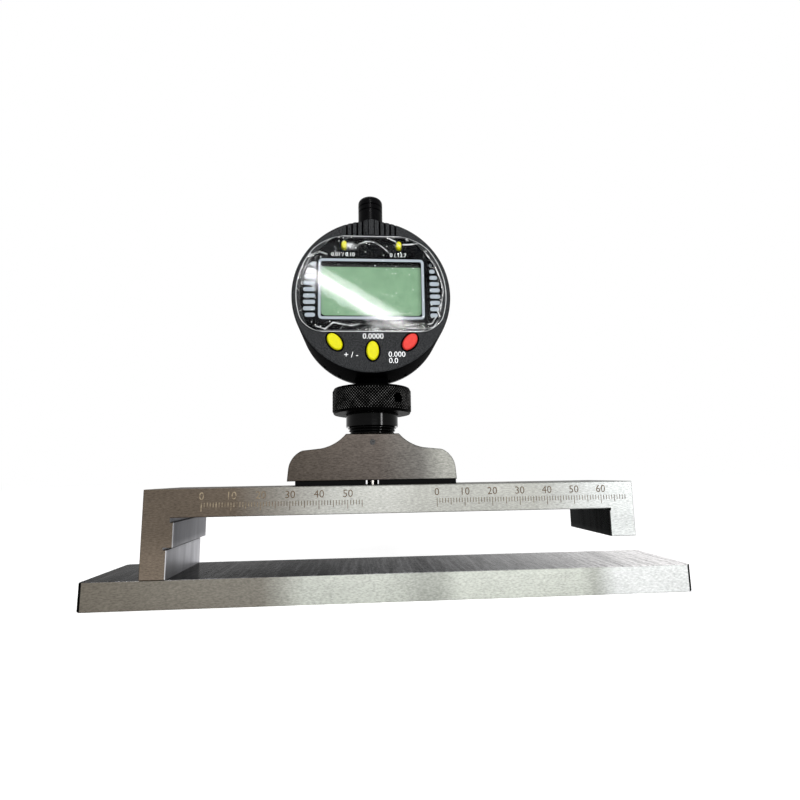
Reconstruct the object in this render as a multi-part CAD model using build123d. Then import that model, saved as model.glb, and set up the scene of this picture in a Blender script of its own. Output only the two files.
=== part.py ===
from build123d import *
import math
import os

os.makedirs("parts", exist_ok=True)

# Bridge gauge for the wear of a wheel's friction disc. A hooked steel ruler stands on a flat
# setting plate and carries a digital depth indicator, held in a clamp on a bell-shaped base.
# Millimetres, +Z up, front towards -Y, origin at the middle of the setting plate's underside.

# Setting plate
PLATE_L, PLATE_D, PLATE_T = 212.0, 36.0, 9.5
PLATE_CORNER = 1.1
EDGE_BREAK = 0.25

# Bridge ruler: overall size, its two legs and the relief grooves (width, height) in its inner corners
RULER_L, RULER_D, RULER_H = 173.0, 36.0, 30.0
BAR_T = 9.7
REFERENCE_H = 10.5          # the ledge and the short leg end this far above the long foot
FOOT_W, LEDGE_W, SHORT_LEG_W = 8.6, 10.6, 9.2
BAR_GROOVE, LEDGE_GROOVE, SHORT_GROOVE = (1.3, 1.6), (1.2, 0.9), (0.6, 0.8)
GROOVE_OVERCUT = 0.1        # how far the ledge's groove reaches past the ground ledge
SLOT_L, SLOT_W = 92.0, 6.4

# Depth base: width, depth and height, the curve of its shoulders, its sole and its bores
GAUGE_X = -8.0
BASE_W, BASE_D, BASE_H = 63.5, 16.0, 17.4
BASE_TOP_W = 20.0
WAIST_MID, WAIST_END = (13.7, 14.2), (19.5, 12.0)
SHOULDER_H, SHOULDER_IN = 11.3, 5.5
CORNER_MID_IN, CORNER_MID_H = 2.0, 8.6
SIDE_IN, SIDE_H = 0.4, 4.4
SOLE_T, SOLE_GAP, SOLE_INSET, SOLE_MARGIN = 1.8, 5.2, 3.0, 0.5
BUSH_SEAT_R, BUSH_SEAT_DEPTH = 6.0, 12.0
SPINDLE_WAY_R = 3.2
LOCK_SCREW_R, LOCK_SCREW_DROP, LOCK_SOCKET = 1.0, 3.2, 0.5

# Clamp: bush with a split collet, and the knurled nut that closes it
THREAD_H, THREAD_R, THREAD_PITCH, THREAD_TURNS = 3.1, 9.5, 1.0, 3
THREAD_DEPTH, THREAD_RUNOUT = 0.7, 0.35
NECK_R = 10.2
COLLET_R, COLLET_TIP_R, COLLET_SLIT = 7.0, 6.0, 1.0
RING_R, RING_H, RING_GAP, RING_EDGE = 15.6, 9.9, 5.1, 0.6
TOMMY_R, TOMMY_ANGLE, TOMMY_DEPTH = 2.0, 39.0, 5.6
STEM_R = 4.0
RUN_FIT = 0.04

# Indicator case, with a boss round its stem, ribs and a boss on its face, and grip notches
CASE_R, CASE_FRONT, CASE_BACK = 30.0, -16.5, 9.0
CASE_RISE = 70.9            # centre of the round case above the ruler's bar
CASE_EDGE = 0.6
STEM_BOSS_R, STEM_BOSS_H = 6.6, 2.8
WALL, FRONT_WALL, COVER_T = 2.0, 2.2, 3.0
LENS_R, LENS_TOP, LENS_BOTTOM, LENS_CORNER = 26.7, 22.6, -13.6, 4.5
LENS_PROUD, LENS_T, PANEL_T = 0.1, 1.0, 0.3
WINDOW_W, WINDOW_H, WINDOW_Z = 38.0, 21.2, 2.7
RIB_FOOT, RIB_START, RIB_GROOVE, RIB_DEPTH, RIB_PITCH, RIB_COUNT = 23.5, 3.3, 0.7, 0.9, 2.0, 4
BOSS_R, BOSS_PROUD = 3.6, 1.6
NOTCH_COUNT, NOTCH_W, NOTCH_DEPTH, NOTCH_L, NOTCH_START = 27, 1.0, 0.5, 6.0, 22.5

# Protective film, which stands off the lens
FILM_R, FILM_TOP, FILM_BOTTOM, FILM_LIFT, FILM_T = 28.3, 23.2, -14.6, 0.5, 0.1

# Rear cover, its screws, and the battery in its well
COVER_EDGE, LIP_H, LIP_W = 0.8, 1.2, 1.3
SCREW_R, SCREW_HEAD_R, SCREW_HEAD_H, SCREW_CIRCLE = 0.9, 1.9, 1.5, 25.3
SCREW_ANGLES = (50, 130, 212, 328)
POST_R, SLOT_HALF = 2.4, 0.25
CELL_R, CELL_T, CELL_RISE = 10.0, 3.2, 12.0
HATCH_R, HATCH_T, COIN_SLOT = 11.6, 1.7, (8.0, 0.9)
WELL_FRONT = 6.5

# Buttons
KEY_L, KEY_W, KEY_PROUD = 7.1, 4.5, 0.9
SMALL_KEY_L, SMALL_KEY_W, SMALL_KEY_PROUD = 3.0, 2.1, 0.9
KEY_GAP, KEY_TRAVEL, KEY_SHOULDER, KEY_FLANGE, KEY_CROWN = 0.2, 0.6, 0.9, 0.6, 0.4

# Display and boards, behind the face
LCD_GAP, LCD_T, LCD_MARGIN = 0.1, 2.2, 2.5
BOARD_GAP, BOARD_T, BOARD_R, BOARD_H = 3.2, 1.2, 22.2, 41.0
CHIP_HALF, CHIP_T = 3.6, 1.4
SENSOR_W, SENSOR_H, SENSOR_FRONT, SENSOR_T = 14.0, 28.0, -5.9, 1.0
SCALE_W, SCALE_LOW, SCALE_HIGH, SCALE_FRONT, SCALE_T = 8.0, -12.0, 11.5, -4.6, 0.8

# Spindle and what it carries
TRAVEL = 12.7
SPINDLE_R, CONTACT_R, BALL_R = 2.0, 2.25, 1.1
COLLAR_R, COLLAR_T, COLLAR_RISE = 3.6, 2.0, 2.5
LOWER_BUSH_R, UPPER_BUSH_R = 3.0, 4.0
CAP_R, CAP_H, CAP_DOME = 5.05, 16.8, 2.0
CAP_GROOVES, CAP_GROOVE_H, CAP_GROOVE_DEPTH = (3.8, 5.95), 0.5, 0.35
PIN_R, PIN_DROP = 1.0, 18.5
SPRING_WIRE, SPRING_R, SPRING_TURNS = 0.32, 3.1, 5

# Heights that follow from the sizes above
RULER_Z = PLATE_T
BAR_TOP = RULER_Z + RULER_H
BAR_UNDER = BAR_TOP - BAR_T
REFERENCE_Z = RULER_Z + REFERENCE_H
BASE_Z = BAR_TOP + SOLE_T
BASE_TOP = BASE_Z + BASE_H
LOCK_SCREW_Z = BASE_TOP - LOCK_SCREW_DROP
NECK_Z = BASE_TOP + THREAD_H
RING_Z = NECK_Z + RING_GAP
RING_TOP = RING_Z + RING_H
CASE_Z = BAR_TOP + CASE_RISE
CASE_TOP, CASE_LOW = CASE_Z + CASE_R, CASE_Z - CASE_R
CAP_Z = CASE_TOP + 0.8
CAP_TOP = CAP_Z + CAP_H
TIP_Z = BAR_UNDER + 1.2
SPINDLE_LOW = TIP_Z + 7.0
COLLAR_Z = CASE_Z + COLLAR_RISE
BUSH_SHOULDER_Z = CASE_TOP - WALL - 2.6
PIN_Z = CASE_Z - PIN_DROP

# Places along the depth of the case, from its face backwards
LENS_FRONT = CASE_FRONT - LENS_PROUD
PANEL_FRONT = LENS_FRONT + LENS_T
PANEL_BACK = PANEL_FRONT + PANEL_T
INNER_FRONT = CASE_FRONT + FRONT_WALL
LCD_FRONT = INNER_FRONT + LCD_GAP
LCD_BACK = LCD_FRONT + LCD_T
BOARD_FRONT = INNER_FRONT + BOARD_GAP
BOARD_BACK = BOARD_FRONT + BOARD_T
COVER_BACK = CASE_BACK + COVER_T
CELL_BACK = COVER_BACK - 2.0

# Each button: node, centre from the middle of the face, length, width, tilt and how far it stands out
KEYS = (
    ("button_unit", -13.8, -18.3, KEY_L, KEY_W, 38.0, KEY_PROUD),
    ("button_preset", 0.2, -21.7, KEY_L, KEY_W, 0.0, KEY_PROUD),
    ("button_zero", 14.1, -18.3, KEY_L, KEY_W, -38.0, KEY_PROUD),
    ("button_tolerance", -10.3, 19.7, SMALL_KEY_L, SMALL_KEY_W, 0.0, SMALL_KEY_PROUD),
    ("button_max_min", 10.5, 19.7, SMALL_KEY_L, SMALL_KEY_W, 0.0, SMALL_KEY_PROUD),
)
SMALL_KEYS = KEYS[3:]


def block(x, y, z):
    """A box from its low and high bounds along each axis."""
    size = [high - low for low, high in (x, y, z)]
    middle = [(high + low) / 2 for low, high in (x, y, z)]
    return Pos(*middle) * Box(*size)


def rod(radius, low, high, x=GAUGE_X, y=0.0):
    """An upright cylinder between two heights."""
    return Pos(x, y, (low + high) / 2) * Cylinder(radius, high - low)


def across(radius, front, back, x=GAUGE_X, z=CASE_Z):
    """A cylinder that lies along Y, between a front and a back."""
    return Pos(x, (front + back) / 2, z) * Rot(90, 0, 0) * Cylinder(radius, back - front)


def through_y(outline, front, back, x=GAUGE_X, z=CASE_Z):
    """An outline drawn in X and Z about a centre, made solid between a front and a back."""
    return extrude(Pos(x, back, z) * (Plane.XZ * outline), amount=back - front, dir=(0, -1, 0))


def turned(points, x=GAUGE_X):
    """A solid of revolution about the gauge's axis, from its half outline as radius and height."""
    profile = make_face(Plane.XZ * Polyline(*points, close=True))
    return Pos(x, 0, 0) * revolve(profile, Axis.Z)


def turned_round(points, start, middle, end):
    """The same, with one round stretch that closes the outline between its last and first point."""
    curve = Polyline(*points).edges() + [ThreePointArc(start, middle, end)]
    profile = make_face(Plane.XZ * Wire(curve))
    return Pos(GAUGE_X, 0, 0) * revolve(profile, Axis.Z)


def front_rim(solid):
    """The edges of a solid's foremost face."""
    return solid.faces().sort_by(Axis.Y)[0].edges()


def back_rim(solid):
    """The edges of a solid's rearmost face."""
    return solid.faces().sort_by(Axis.Y)[-1].edges()


def save(node, solid):
    """Write one node, a single solid or a group of separate ones."""
    if isinstance(solid, (list, tuple)):
        solid = Compound(children=list(solid))
    elif len(solid.solids()) == 1:
        solid = solid.solid()
    solid.label = node
    export_step(solid, f"parts/{node}.step")


def setting_plate():
    """The flat ground block on which the instrument is zeroed, black at its four bevelled corners."""
    plate = block((-PLATE_L / 2, PLATE_L / 2), (-PLATE_D / 2, PLATE_D / 2), (0, PLATE_T))
    plate = chamfer(plate.edges().filter_by(Axis.Z), PLATE_CORNER)
    rims = plate.edges().group_by(Axis.Z)[0] + plate.edges().group_by(Axis.Z)[-1]
    return chamfer(rims, EDGE_BREAK)


def bridge_ruler():
    """The hooked ruler: long foot with a ledge on the left, short leg on the right, slotted bar."""
    left, right = -RULER_L / 2, RULER_L / 2
    foot_x, ledge_x, short_x = left + FOOT_W, left + LEDGE_W, right - SHORT_LEG_W
    outline = Polyline(
        (left, RULER_Z),
        (foot_x, RULER_Z),
        (foot_x, REFERENCE_Z - LEDGE_GROOVE[1]),
        (foot_x - LEDGE_GROOVE[0], REFERENCE_Z - LEDGE_GROOVE[1]),
        (foot_x - LEDGE_GROOVE[0], REFERENCE_Z + GROOVE_OVERCUT),
        (foot_x, REFERENCE_Z + GROOVE_OVERCUT),
        (foot_x, REFERENCE_Z),
        (ledge_x, REFERENCE_Z),
        (ledge_x, BAR_UNDER - BAR_GROOVE[1]),
        (ledge_x - BAR_GROOVE[0], BAR_UNDER - BAR_GROOVE[1]),
        (ledge_x - BAR_GROOVE[0], BAR_UNDER),
        (short_x + SHORT_GROOVE[0], BAR_UNDER),
        (short_x + SHORT_GROOVE[0], BAR_UNDER - SHORT_GROOVE[1]),
        (short_x, BAR_UNDER - SHORT_GROOVE[1]),
        (short_x, REFERENCE_Z),
        (right, REFERENCE_Z),
        (right, BAR_TOP),
        (left, BAR_TOP),
        close=True,
    )
    ruler = through_y(make_face(outline), -RULER_D / 2, RULER_D / 2, x=0, z=0)
    faces = ruler.faces().sort_by(Axis.Y)
    long_edges = [edge for face in (faces[0], faces[-1]) for edge in face.edges() if edge.length > 3]
    ruler = chamfer(long_edges, EDGE_BREAK)
    slot = Pos(0, 0, BAR_UNDER - 1) * extrude(SlotOverall(SLOT_L, SLOT_W), amount=BAR_T + 2)
    ruler = ruler - slot
    rim = [edge for edge in ruler.edges().group_by(Axis.Z)[-1] if abs(edge.center().Y) < SLOT_W]
    return chamfer(rim, EDGE_BREAK)


def depth_base():
    """The bell-shaped steel block: a ground foot, curved shoulders and the seat of the clamp bush."""
    half, top = BASE_W / 2, BASE_TOP_W / 2
    waist = ThreePointArc((top, BASE_H), WAIST_MID, WAIST_END)
    shoulder = Line(waist @ 1, (half - SHOULDER_IN, SHOULDER_H))
    corner = ThreePointArc(shoulder @ 1, (half - CORNER_MID_IN, CORNER_MID_H), (half - SIDE_IN, SIDE_H))
    side = Line(corner @ 1, (half, 0))
    half_outline = [waist, shoulder, corner, side]
    whole = half_outline + [mirror(edge, Plane.YZ) for edge in half_outline]
    whole += [Line((-half, 0), (half, 0)), Line((-top, BASE_H), (top, BASE_H))]
    whole = [edge for curve in whole for edge in curve.edges()]
    base = through_y(make_face(Wire(whole)), -BASE_D / 2, BASE_D / 2, z=BASE_Z)
    base = chamfer(front_rim(base) + back_rim(base), EDGE_BREAK)
    base -= rod(BUSH_SEAT_R, BASE_TOP - BUSH_SEAT_DEPTH, BASE_TOP + 1)
    base -= rod(SPINDLE_WAY_R, BASE_Z - 1, BASE_TOP)
    return base - across(LOCK_SCREW_R + 0.05, -BASE_D / 2 - 1, 0, z=LOCK_SCREW_Z)


def sole_pads():
    """Two black pads bonded under the base, with a break between them where the spindle comes out."""
    depth = (-BASE_D / 2 + SOLE_MARGIN, BASE_D / 2 - SOLE_MARGIN)
    height = (BAR_TOP, BASE_Z)
    left = block((GAUGE_X - BASE_W / 2 + SOLE_INSET, GAUGE_X - SOLE_GAP / 2), depth, height)
    right = block((GAUGE_X + SOLE_GAP / 2, GAUGE_X + BASE_W / 2 - 0.3), depth, height)
    return [pad.solid() for pad in (left, right)]


def bush_lock_screw():
    """The grub screw in the front of the base that locks the bush's thread."""
    front = -BASE_D / 2 + 0.15
    screw = across(LOCK_SCREW_R, front, -BUSH_SEAT_R, z=LOCK_SCREW_Z)
    hexagon = extrude(RegularPolygon(LOCK_SOCKET, 6), 0.8)
    return screw - Pos(GAUGE_X, front + 0.4, LOCK_SCREW_Z) * Rot(90, 0, 0) * hexagon


def clamp_bush():
    """The black bush: thread, polished neck and a split collet that grips the indicator's stem."""
    seat_z, seat_r = BASE_TOP - BUSH_SEAT_DEPTH, BUSH_SEAT_R - RUN_FIT
    outline = [(STEM_R + RUN_FIT, seat_z), (seat_r, seat_z), (seat_r, BASE_TOP)]
    for turn in range(THREAD_TURNS):
        foot = BASE_TOP + turn * THREAD_PITCH
        crest = THREAD_R - THREAD_RUNOUT * (THREAD_TURNS - 1 - turn)
        outline += [(crest - THREAD_DEPTH, foot + 0.1), (crest, foot + 0.45), (crest, foot + 0.6)]
    nut_thread_z, nut_thread_r = RING_Z + 1.4, THREAD_R - 0.1
    outline += [
        (THREAD_R - 0.6, NECK_Z),
        (NECK_R, NECK_Z),
        (NECK_R, nut_thread_z),
        (nut_thread_r, nut_thread_z),
        (nut_thread_r, RING_Z + 4.4),
        (COLLET_R, RING_Z + 4.4),
        (COLLET_TIP_R, RING_TOP - 0.3),
        (STEM_R + RUN_FIT, RING_TOP - 0.3),
    ]
    bush = turned(outline)
    cut_z = (RING_Z + 2.6, RING_TOP + 1)
    for turn in (0, 90):
        blade = Pos(0, 0, sum(cut_z) / 2) * Box(2 * THREAD_R + 4, COLLET_SLIT, cut_z[1] - cut_z[0])
        bush -= Pos(GAUGE_X, 0, 0) * (Rot(0, 0, turn) * blade)
    return bush


def clamp_ring():
    """The knurled nut that closes the collet; a pin in one of its two tommy holes turns it."""
    thread_r, collet_z = THREAD_R + 0.1, RING_Z + 4.9
    ring = turned([
        (NECK_R + 0.3, RING_Z),
        (RING_R - RING_EDGE, RING_Z),
        (RING_R, RING_Z + RING_EDGE),
        (RING_R, RING_TOP - RING_EDGE),
        (RING_R - RING_EDGE, RING_TOP),
        (COLLET_TIP_R + 0.4, RING_TOP),
        (COLLET_R + 0.4, collet_z),
        (thread_r, collet_z),
        (thread_r, RING_Z + 1.6),
        (NECK_R + 0.3, RING_Z + 1.6),
    ])
    middle = Pos(GAUGE_X, 0, (RING_Z + RING_TOP) / 2)
    hole = Rot(90, 0, 0) * (Pos(0, 0, RING_R + 0.7 - TOMMY_DEPTH / 2) * Cylinder(TOMMY_R, TOMMY_DEPTH))
    for turn in (TOMMY_ANGLE, TOMMY_ANGLE + 180):
        ring -= middle * (Rot(0, 0, turn) * hole)
    return ring


def oval(length, width, tilt=0.0):
    """The outline of an oval button, upright or tilted."""
    return Rot(0, 0, tilt) * Ellipse(width / 2, length / 2)


def button(x, z, length, width, tilt, proud):
    """A button with a bevelled head and a flange that keeps it in the case."""
    spot = (GAUGE_X + x, CASE_Z + z)
    flange_front = INNER_FRONT + 0.05
    head = through_y(oval(length, width, tilt), CASE_FRONT - proud, flange_front, *spot)
    head = chamfer(front_rim(head), KEY_CROWN)
    wide = oval(length + 2 * KEY_FLANGE, width + 2 * KEY_FLANGE, tilt)
    return head + through_y(wide, flange_front, INNER_FRONT + KEY_SHOULDER, *spot)


def key_holes(keys, front, back, gap=KEY_GAP):
    """The clearance holes of some buttons, between a front and a back."""
    return [
        through_y(oval(length + 2 * gap, width + 2 * gap, tilt), front, back, GAUGE_X + x, CASE_Z + z)
        for _, x, z, length, width, tilt, _ in keys
    ]


def lens_outline(inset=0.0):
    """The lens: a circle cut flat above and below, with rounded corners."""
    height = LENS_TOP - LENS_BOTTOM - 2 * inset
    band = Pos(0, (LENS_TOP + LENS_BOTTOM) / 2) * Rectangle(2 * LENS_R + 2, height)
    shape = Circle(LENS_R - inset) & band
    return fillet(shape.vertices(), LENS_CORNER)


def window_outline(grow=0.0):
    """The display window, a rectangle with rounded corners."""
    return Pos(0, WINDOW_Z) * RectangleRounded(WINDOW_W + 2 * grow, WINDOW_H + 2 * grow, 1.6)


def screw_spots():
    """The centres of the rear cover's screws, as X and Z."""
    angles = [math.radians(angle) for angle in SCREW_ANGLES]
    return [(GAUGE_X + SCREW_CIRCLE * math.cos(a), CASE_Z + SCREW_CIRCLE * math.sin(a)) for a in angles]


CELL_SPOT = (GAUGE_X, CASE_Z + CELL_RISE)


def case_body():
    """The moulded case: face with ribs and boss, openings, side grip notches and screw posts."""
    case = across(CASE_R, CASE_FRONT, CASE_BACK)
    case = chamfer(front_rim(case), CASE_EDGE)
    boss = rod(BOSS_R, CASE_Z + RIB_FOOT, CASE_TOP - 0.4, y=CASE_FRONT + BOSS_R - BOSS_PROUD)
    case += boss & block((GAUGE_X - 4, GAUGE_X + 4), (CASE_FRONT - 3, CASE_FRONT + 1), (CASE_Z, CASE_TOP))
    case += rod(STEM_BOSS_R, CASE_LOW - STEM_BOSS_H, CASE_LOW + WALL)
    rib_height = (CASE_Z + RIB_FOOT, CASE_TOP + 1)
    for place in range(RIB_COUNT):
        for side in (-1, 1):
            x = GAUGE_X + side * (RIB_START + place * RIB_PITCH)
            groove = (x - RIB_GROOVE / 2, x + RIB_GROOVE / 2)
            case -= block(groove, (CASE_FRONT - 1, CASE_FRONT + RIB_DEPTH), rib_height)
    case -= across(CASE_R - WALL, INNER_FRONT, CASE_BACK + 1)
    for x, z in screw_spots():
        post = across(POST_R, INNER_FRONT - 0.1, CASE_BACK, x, z)
        case += post - across(SCREW_R + 0.02, 0, CASE_BACK + 1, x, z)
    notch = Pos(CASE_R, 0, 0) * Box(2 * NOTCH_DEPTH, NOTCH_L, NOTCH_W)
    for step in range(NOTCH_COUNT):
        turn = NOTCH_START + step * 360 / NOTCH_COUNT
        case -= Pos(GAUGE_X, CASE_BACK - 1 - NOTCH_L / 2, CASE_Z) * (Rot(0, turn, 0) * notch)
    case -= through_y(lens_outline(), CASE_FRONT - 1, PANEL_BACK)
    case -= through_y(window_outline(grow=0.3), CASE_FRONT, INNER_FRONT + 1)
    for hole in key_holes(KEYS, CASE_FRONT - 1, INNER_FRONT + 1):
        case -= hole
    case -= rod(STEM_R, CASE_LOW - STEM_BOSS_H - 1, CASE_Z - 20)
    return case - rod(UPPER_BUSH_R, CASE_Z + 20, CASE_TOP + 1)


def display_lens():
    """The clear acrylic window, let into the face and pierced for the two small buttons."""
    lens = through_y(lens_outline(0.08), LENS_FRONT, PANEL_FRONT)
    lens = chamfer(front_rim(lens), 0.2)
    for hole in key_holes(SMALL_KEYS, LENS_FRONT - 1, PANEL_FRONT + 1):
        lens -= hole
    return lens


def display_panel():
    """The black mask behind the lens, cut out for the display."""
    panel = through_y(lens_outline(0.08), PANEL_FRONT, PANEL_BACK)
    panel -= through_y(window_outline(), PANEL_FRONT - 1, PANEL_BACK + 1)
    for hole in key_holes(SMALL_KEYS, PANEL_FRONT - 1, PANEL_BACK + 1):
        panel -= hole
    return panel


def lcd_module():
    """The liquid crystal display: a glass sandwich with a rear reflector."""
    half_x, half_z = WINDOW_W / 2 + LCD_MARGIN, WINDOW_H / 2 + LCD_MARGIN
    x, z = GAUGE_X, CASE_Z + WINDOW_Z
    return block((x - half_x, x + half_x), (LCD_FRONT, LCD_BACK), (z - half_z, z + half_z))


def lcd_connector():
    """Two strips of conductive rubber that join the display to the circuit board."""
    half = WINDOW_W / 2
    strips = []
    for z in (CASE_Z + WINDOW_Z - 12.2, CASE_Z + WINDOW_Z + 10.2):
        strips.append(block((GAUGE_X - half, GAUGE_X + half), (LCD_BACK, BOARD_FRONT), (z, z + 2)).solid())
    return strips


def circuit_board():
    """The main board, round with flat ends, with its chip on the back."""
    board = through_y(Circle(BOARD_R) & Rectangle(2 * BOARD_R + 2, BOARD_H), BOARD_FRONT, BOARD_BACK)
    x, z = GAUGE_X + 14, CASE_Z - 8
    width, height = (x - CHIP_HALF, x + CHIP_HALF), (z - CHIP_HALF, z + CHIP_HALF)
    chip = block(width, (BOARD_BACK, BOARD_BACK + CHIP_T), height)
    return board + chamfer(back_rim(chip), 0.4)


def keypad_mat():
    """The silicone mat behind the three large buttons."""
    front = INNER_FRONT + KEY_SHOULDER + KEY_TRAVEL + 0.2
    outline = Circle(25.6) & Pos(0, -21.3) * Rectangle(36, 11.4)
    return through_y(outline, front, front + 0.8)


def stem():
    """The steel stem below the case, with a collar inside it and a reamed bore for the bushes."""
    inside = CASE_LOW + WALL
    tube = rod(STEM_R, BASE_TOP - 0.2, inside + 3)
    tube += rod(STEM_R + 1.0, inside + 1.2, inside + 3.2)
    return tube - rod(LOWER_BUSH_R, BASE_TOP - 1, inside + 4)


def lower_bush():
    """The bronze guide bush pressed into the foot of the stem."""
    bush = rod(LOWER_BUSH_R, BASE_TOP - 0.2, BASE_TOP + 7)
    return bush - rod(SPINDLE_R + RUN_FIT, BASE_TOP - 1, BASE_TOP + 8)


def upper_bush():
    """The guide bush above the case; its tall neck keeps the lift cap covered over the whole travel."""
    top = CASE_TOP + TRAVEL + 1.4
    bush = rod(UPPER_BUSH_R, BUSH_SHOULDER_Z + 1.0, top)
    bush += rod(UPPER_BUSH_R + 1.0, BUSH_SHOULDER_Z, BUSH_SHOULDER_Z + 2.0)
    return bush - rod(SPINDLE_R + RUN_FIT, BUSH_SHOULDER_Z - 3, top + 1)


def spindle():
    """The hardened spindle, with the collar that the return spring pushes on."""
    shaft = rod(SPINDLE_R, SPINDLE_LOW, CAP_TOP - 2.2)
    return shaft + rod(COLLAR_R, COLLAR_Z, COLLAR_Z + COLLAR_T)


def contact_point():
    """The screwed contact point with a small ball end."""
    ball_z, slant = TIP_Z + BALL_R, BALL_R * math.sqrt(0.5)
    outline = [
        (BALL_R, ball_z),
        (BALL_R + 0.2, ball_z + 0.2),
        (CONTACT_R, TIP_Z + 3.2),
        (CONTACT_R, SPINDLE_LOW),
        (0, SPINDLE_LOW),
        (0, TIP_Z),
    ]
    return turned_round(outline, (0, TIP_Z), (slant, ball_z - slant), (BALL_R, ball_z))


def lift_cap():
    """The black cap pulled to raise the spindle: domed top, two finger grooves, hollow skirt."""
    shoulder_r, shoulder_z = CAP_R - CAP_DOME, CAP_TOP - CAP_DOME
    outline = [(CAP_R, shoulder_z)]
    for drop in CAP_GROOVES:
        high, low = CAP_TOP - drop + CAP_GROOVE_H / 2, CAP_TOP - drop - CAP_GROOVE_H / 2
        floor_r = CAP_R - CAP_GROOVE_DEPTH
        outline += [(CAP_R, high), (floor_r, high), (floor_r, low), (CAP_R, low)]
    bore_r, bore_z = UPPER_BUSH_R + 0.3, CAP_TOP - 2.9
    outline += [(CAP_R, CAP_Z), (bore_r, CAP_Z), (bore_r, bore_z), (SPINDLE_R, bore_z)]
    outline += [(SPINDLE_R, CAP_TOP - 2.2), (0, CAP_TOP - 2.2), (0, CAP_TOP), (shoulder_r, CAP_TOP)]
    slant = CAP_DOME * math.sqrt(0.5)
    middle = (shoulder_r + slant, shoulder_z + slant)
    return turned_round(outline, (shoulder_r, CAP_TOP), middle, (CAP_R, shoulder_z))


def guide_pin():
    """The cross pin that keeps the spindle from turning."""
    length = 5.8
    return Pos(GAUGE_X + SPINDLE_R + length / 2, 0, PIN_Z) * Rot(0, 90, 0) * Cylinder(PIN_R, length)


def guide_rail():
    """The channel beside the spindle in which the cross pin slides."""
    low, high = PIN_Z - 3, PIN_Z + TRAVEL + 3
    x = GAUGE_X + 4.2
    rail = block((x, x + 5.2), (-3.4, CASE_BACK), (low, high))
    return rail - block((x - 1, x + 3.9), (-PIN_R - 0.1, PIN_R + 0.1), (low - 1, high + 1))


def scale_strip():
    """The moving scale of the sensor, carried on the front of the spindle."""
    width, height = (GAUGE_X - SCALE_W / 2, GAUGE_X + SCALE_W / 2), (CASE_Z + SCALE_LOW, CASE_Z + SCALE_HIGH)
    strip = block(width, (SCALE_FRONT, SCALE_FRONT + SCALE_T), height)
    foot = block((GAUGE_X - 1.6, GAUGE_X + 1.6), (SCALE_FRONT + SCALE_T, -1.0), (CASE_Z - 10, CASE_Z - 6))
    return strip + (foot - rod(SPINDLE_R, CASE_Z - 12, CASE_Z))


def sensor_board():
    """The fixed reading board of the sensor, a hair in front of the moving scale."""
    half_x, half_z = SENSOR_W / 2, SENSOR_H / 2
    depth = (SENSOR_FRONT, SENSOR_FRONT + SENSOR_T)
    plate = block((GAUGE_X - half_x, GAUGE_X + half_x), depth, (CASE_Z - half_z, CASE_Z + half_z))
    for side in (-1, 1):
        for end in (-1, 1):
            x, z = GAUGE_X + side * (half_x - 1.6), CASE_Z + end * (half_z - 2)
            plate += block((x - 1, x + 1), (BOARD_BACK, SENSOR_FRONT), (z - 1, z + 1))
    return plate


def return_spring():
    """The coil spring that pushes the spindle out, between its collar and the upper bush."""
    clear = SPRING_WIRE + 0.05
    low, high = COLLAR_Z + COLLAR_T + clear, BUSH_SHOULDER_Z - clear
    line = Helix((high - low) / SPRING_TURNS, high - low, SPRING_R, center=(GAUGE_X, 0, low))
    wire = Plane(line @ 0, z_dir=line % 0) * RegularPolygon(SPRING_WIRE, 6)
    return sweep(wire, path=line, is_frenet=True)


def rear_cover():
    """The back of the case: a round cover with the battery well and four screw seats."""
    cover = across(CASE_R, CASE_BACK, COVER_BACK)
    cover = chamfer(back_rim(cover), COVER_EDGE)
    lip_r = CASE_R - WALL - 0.1
    cover += across(lip_r, CASE_BACK - LIP_H, CASE_BACK) - across(lip_r - LIP_W, CASE_BACK - 2, CASE_BACK)
    cover += across(HATCH_R + 1.6, WELL_FRONT, CASE_BACK + 1, *CELL_SPOT)
    for x, z in screw_spots():
        cover -= across(SCREW_R + 0.15, CASE_BACK - 3, COVER_BACK + 1, x, z)
        cover -= across(SCREW_HEAD_R + 0.15, COVER_BACK - SCREW_HEAD_H, COVER_BACK + 1, x, z)
        cover -= across(POST_R + 0.6, CASE_BACK - 2, CASE_BACK, x, z)
    cover -= across(CELL_R + 0.2, WELL_FRONT - 1, COVER_BACK + 1, *CELL_SPOT)
    return cover - across(HATCH_R + 0.15, COVER_BACK - HATCH_T - 0.1, COVER_BACK + 1, *CELL_SPOT)


def rear_cover_screws():
    """Four cross-head screws that hold the cover to the case's posts."""
    screws = []
    slot_y = (COVER_BACK - 0.9, COVER_BACK + 1)
    for x, z in screw_spots():
        head = across(SCREW_HEAD_R, COVER_BACK - SCREW_HEAD_H, COVER_BACK - 0.2, x, z)
        shank = across(SCREW_R, CASE_BACK - 4, COVER_BACK - SCREW_HEAD_H, x, z)
        cross = block((x - 1.2, x + 1.2), slot_y, (z - SLOT_HALF, z + SLOT_HALF))
        cross += block((x - SLOT_HALF, x + SLOT_HALF), slot_y, (z - 1.2, z + 1.2))
        screws.append((head + shank - cross).solid())
    return screws


def battery_cell():
    """The coin cell in its well."""
    cell = across(CELL_R, CELL_BACK - CELL_T, CELL_BACK, *CELL_SPOT)
    return chamfer(front_rim(cell), 0.5)


def battery_contact():
    """The sprung blade that touches the cell's inner face."""
    x, z = CELL_SPOT
    blade = block((x - 12, x + 12), (WELL_FRONT - 0.2, WELL_FRONT), (z - 1.5, z + 1.5))
    return blade + across(1.4, WELL_FRONT - 0.1, CELL_BACK - CELL_T, x, z)


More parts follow.
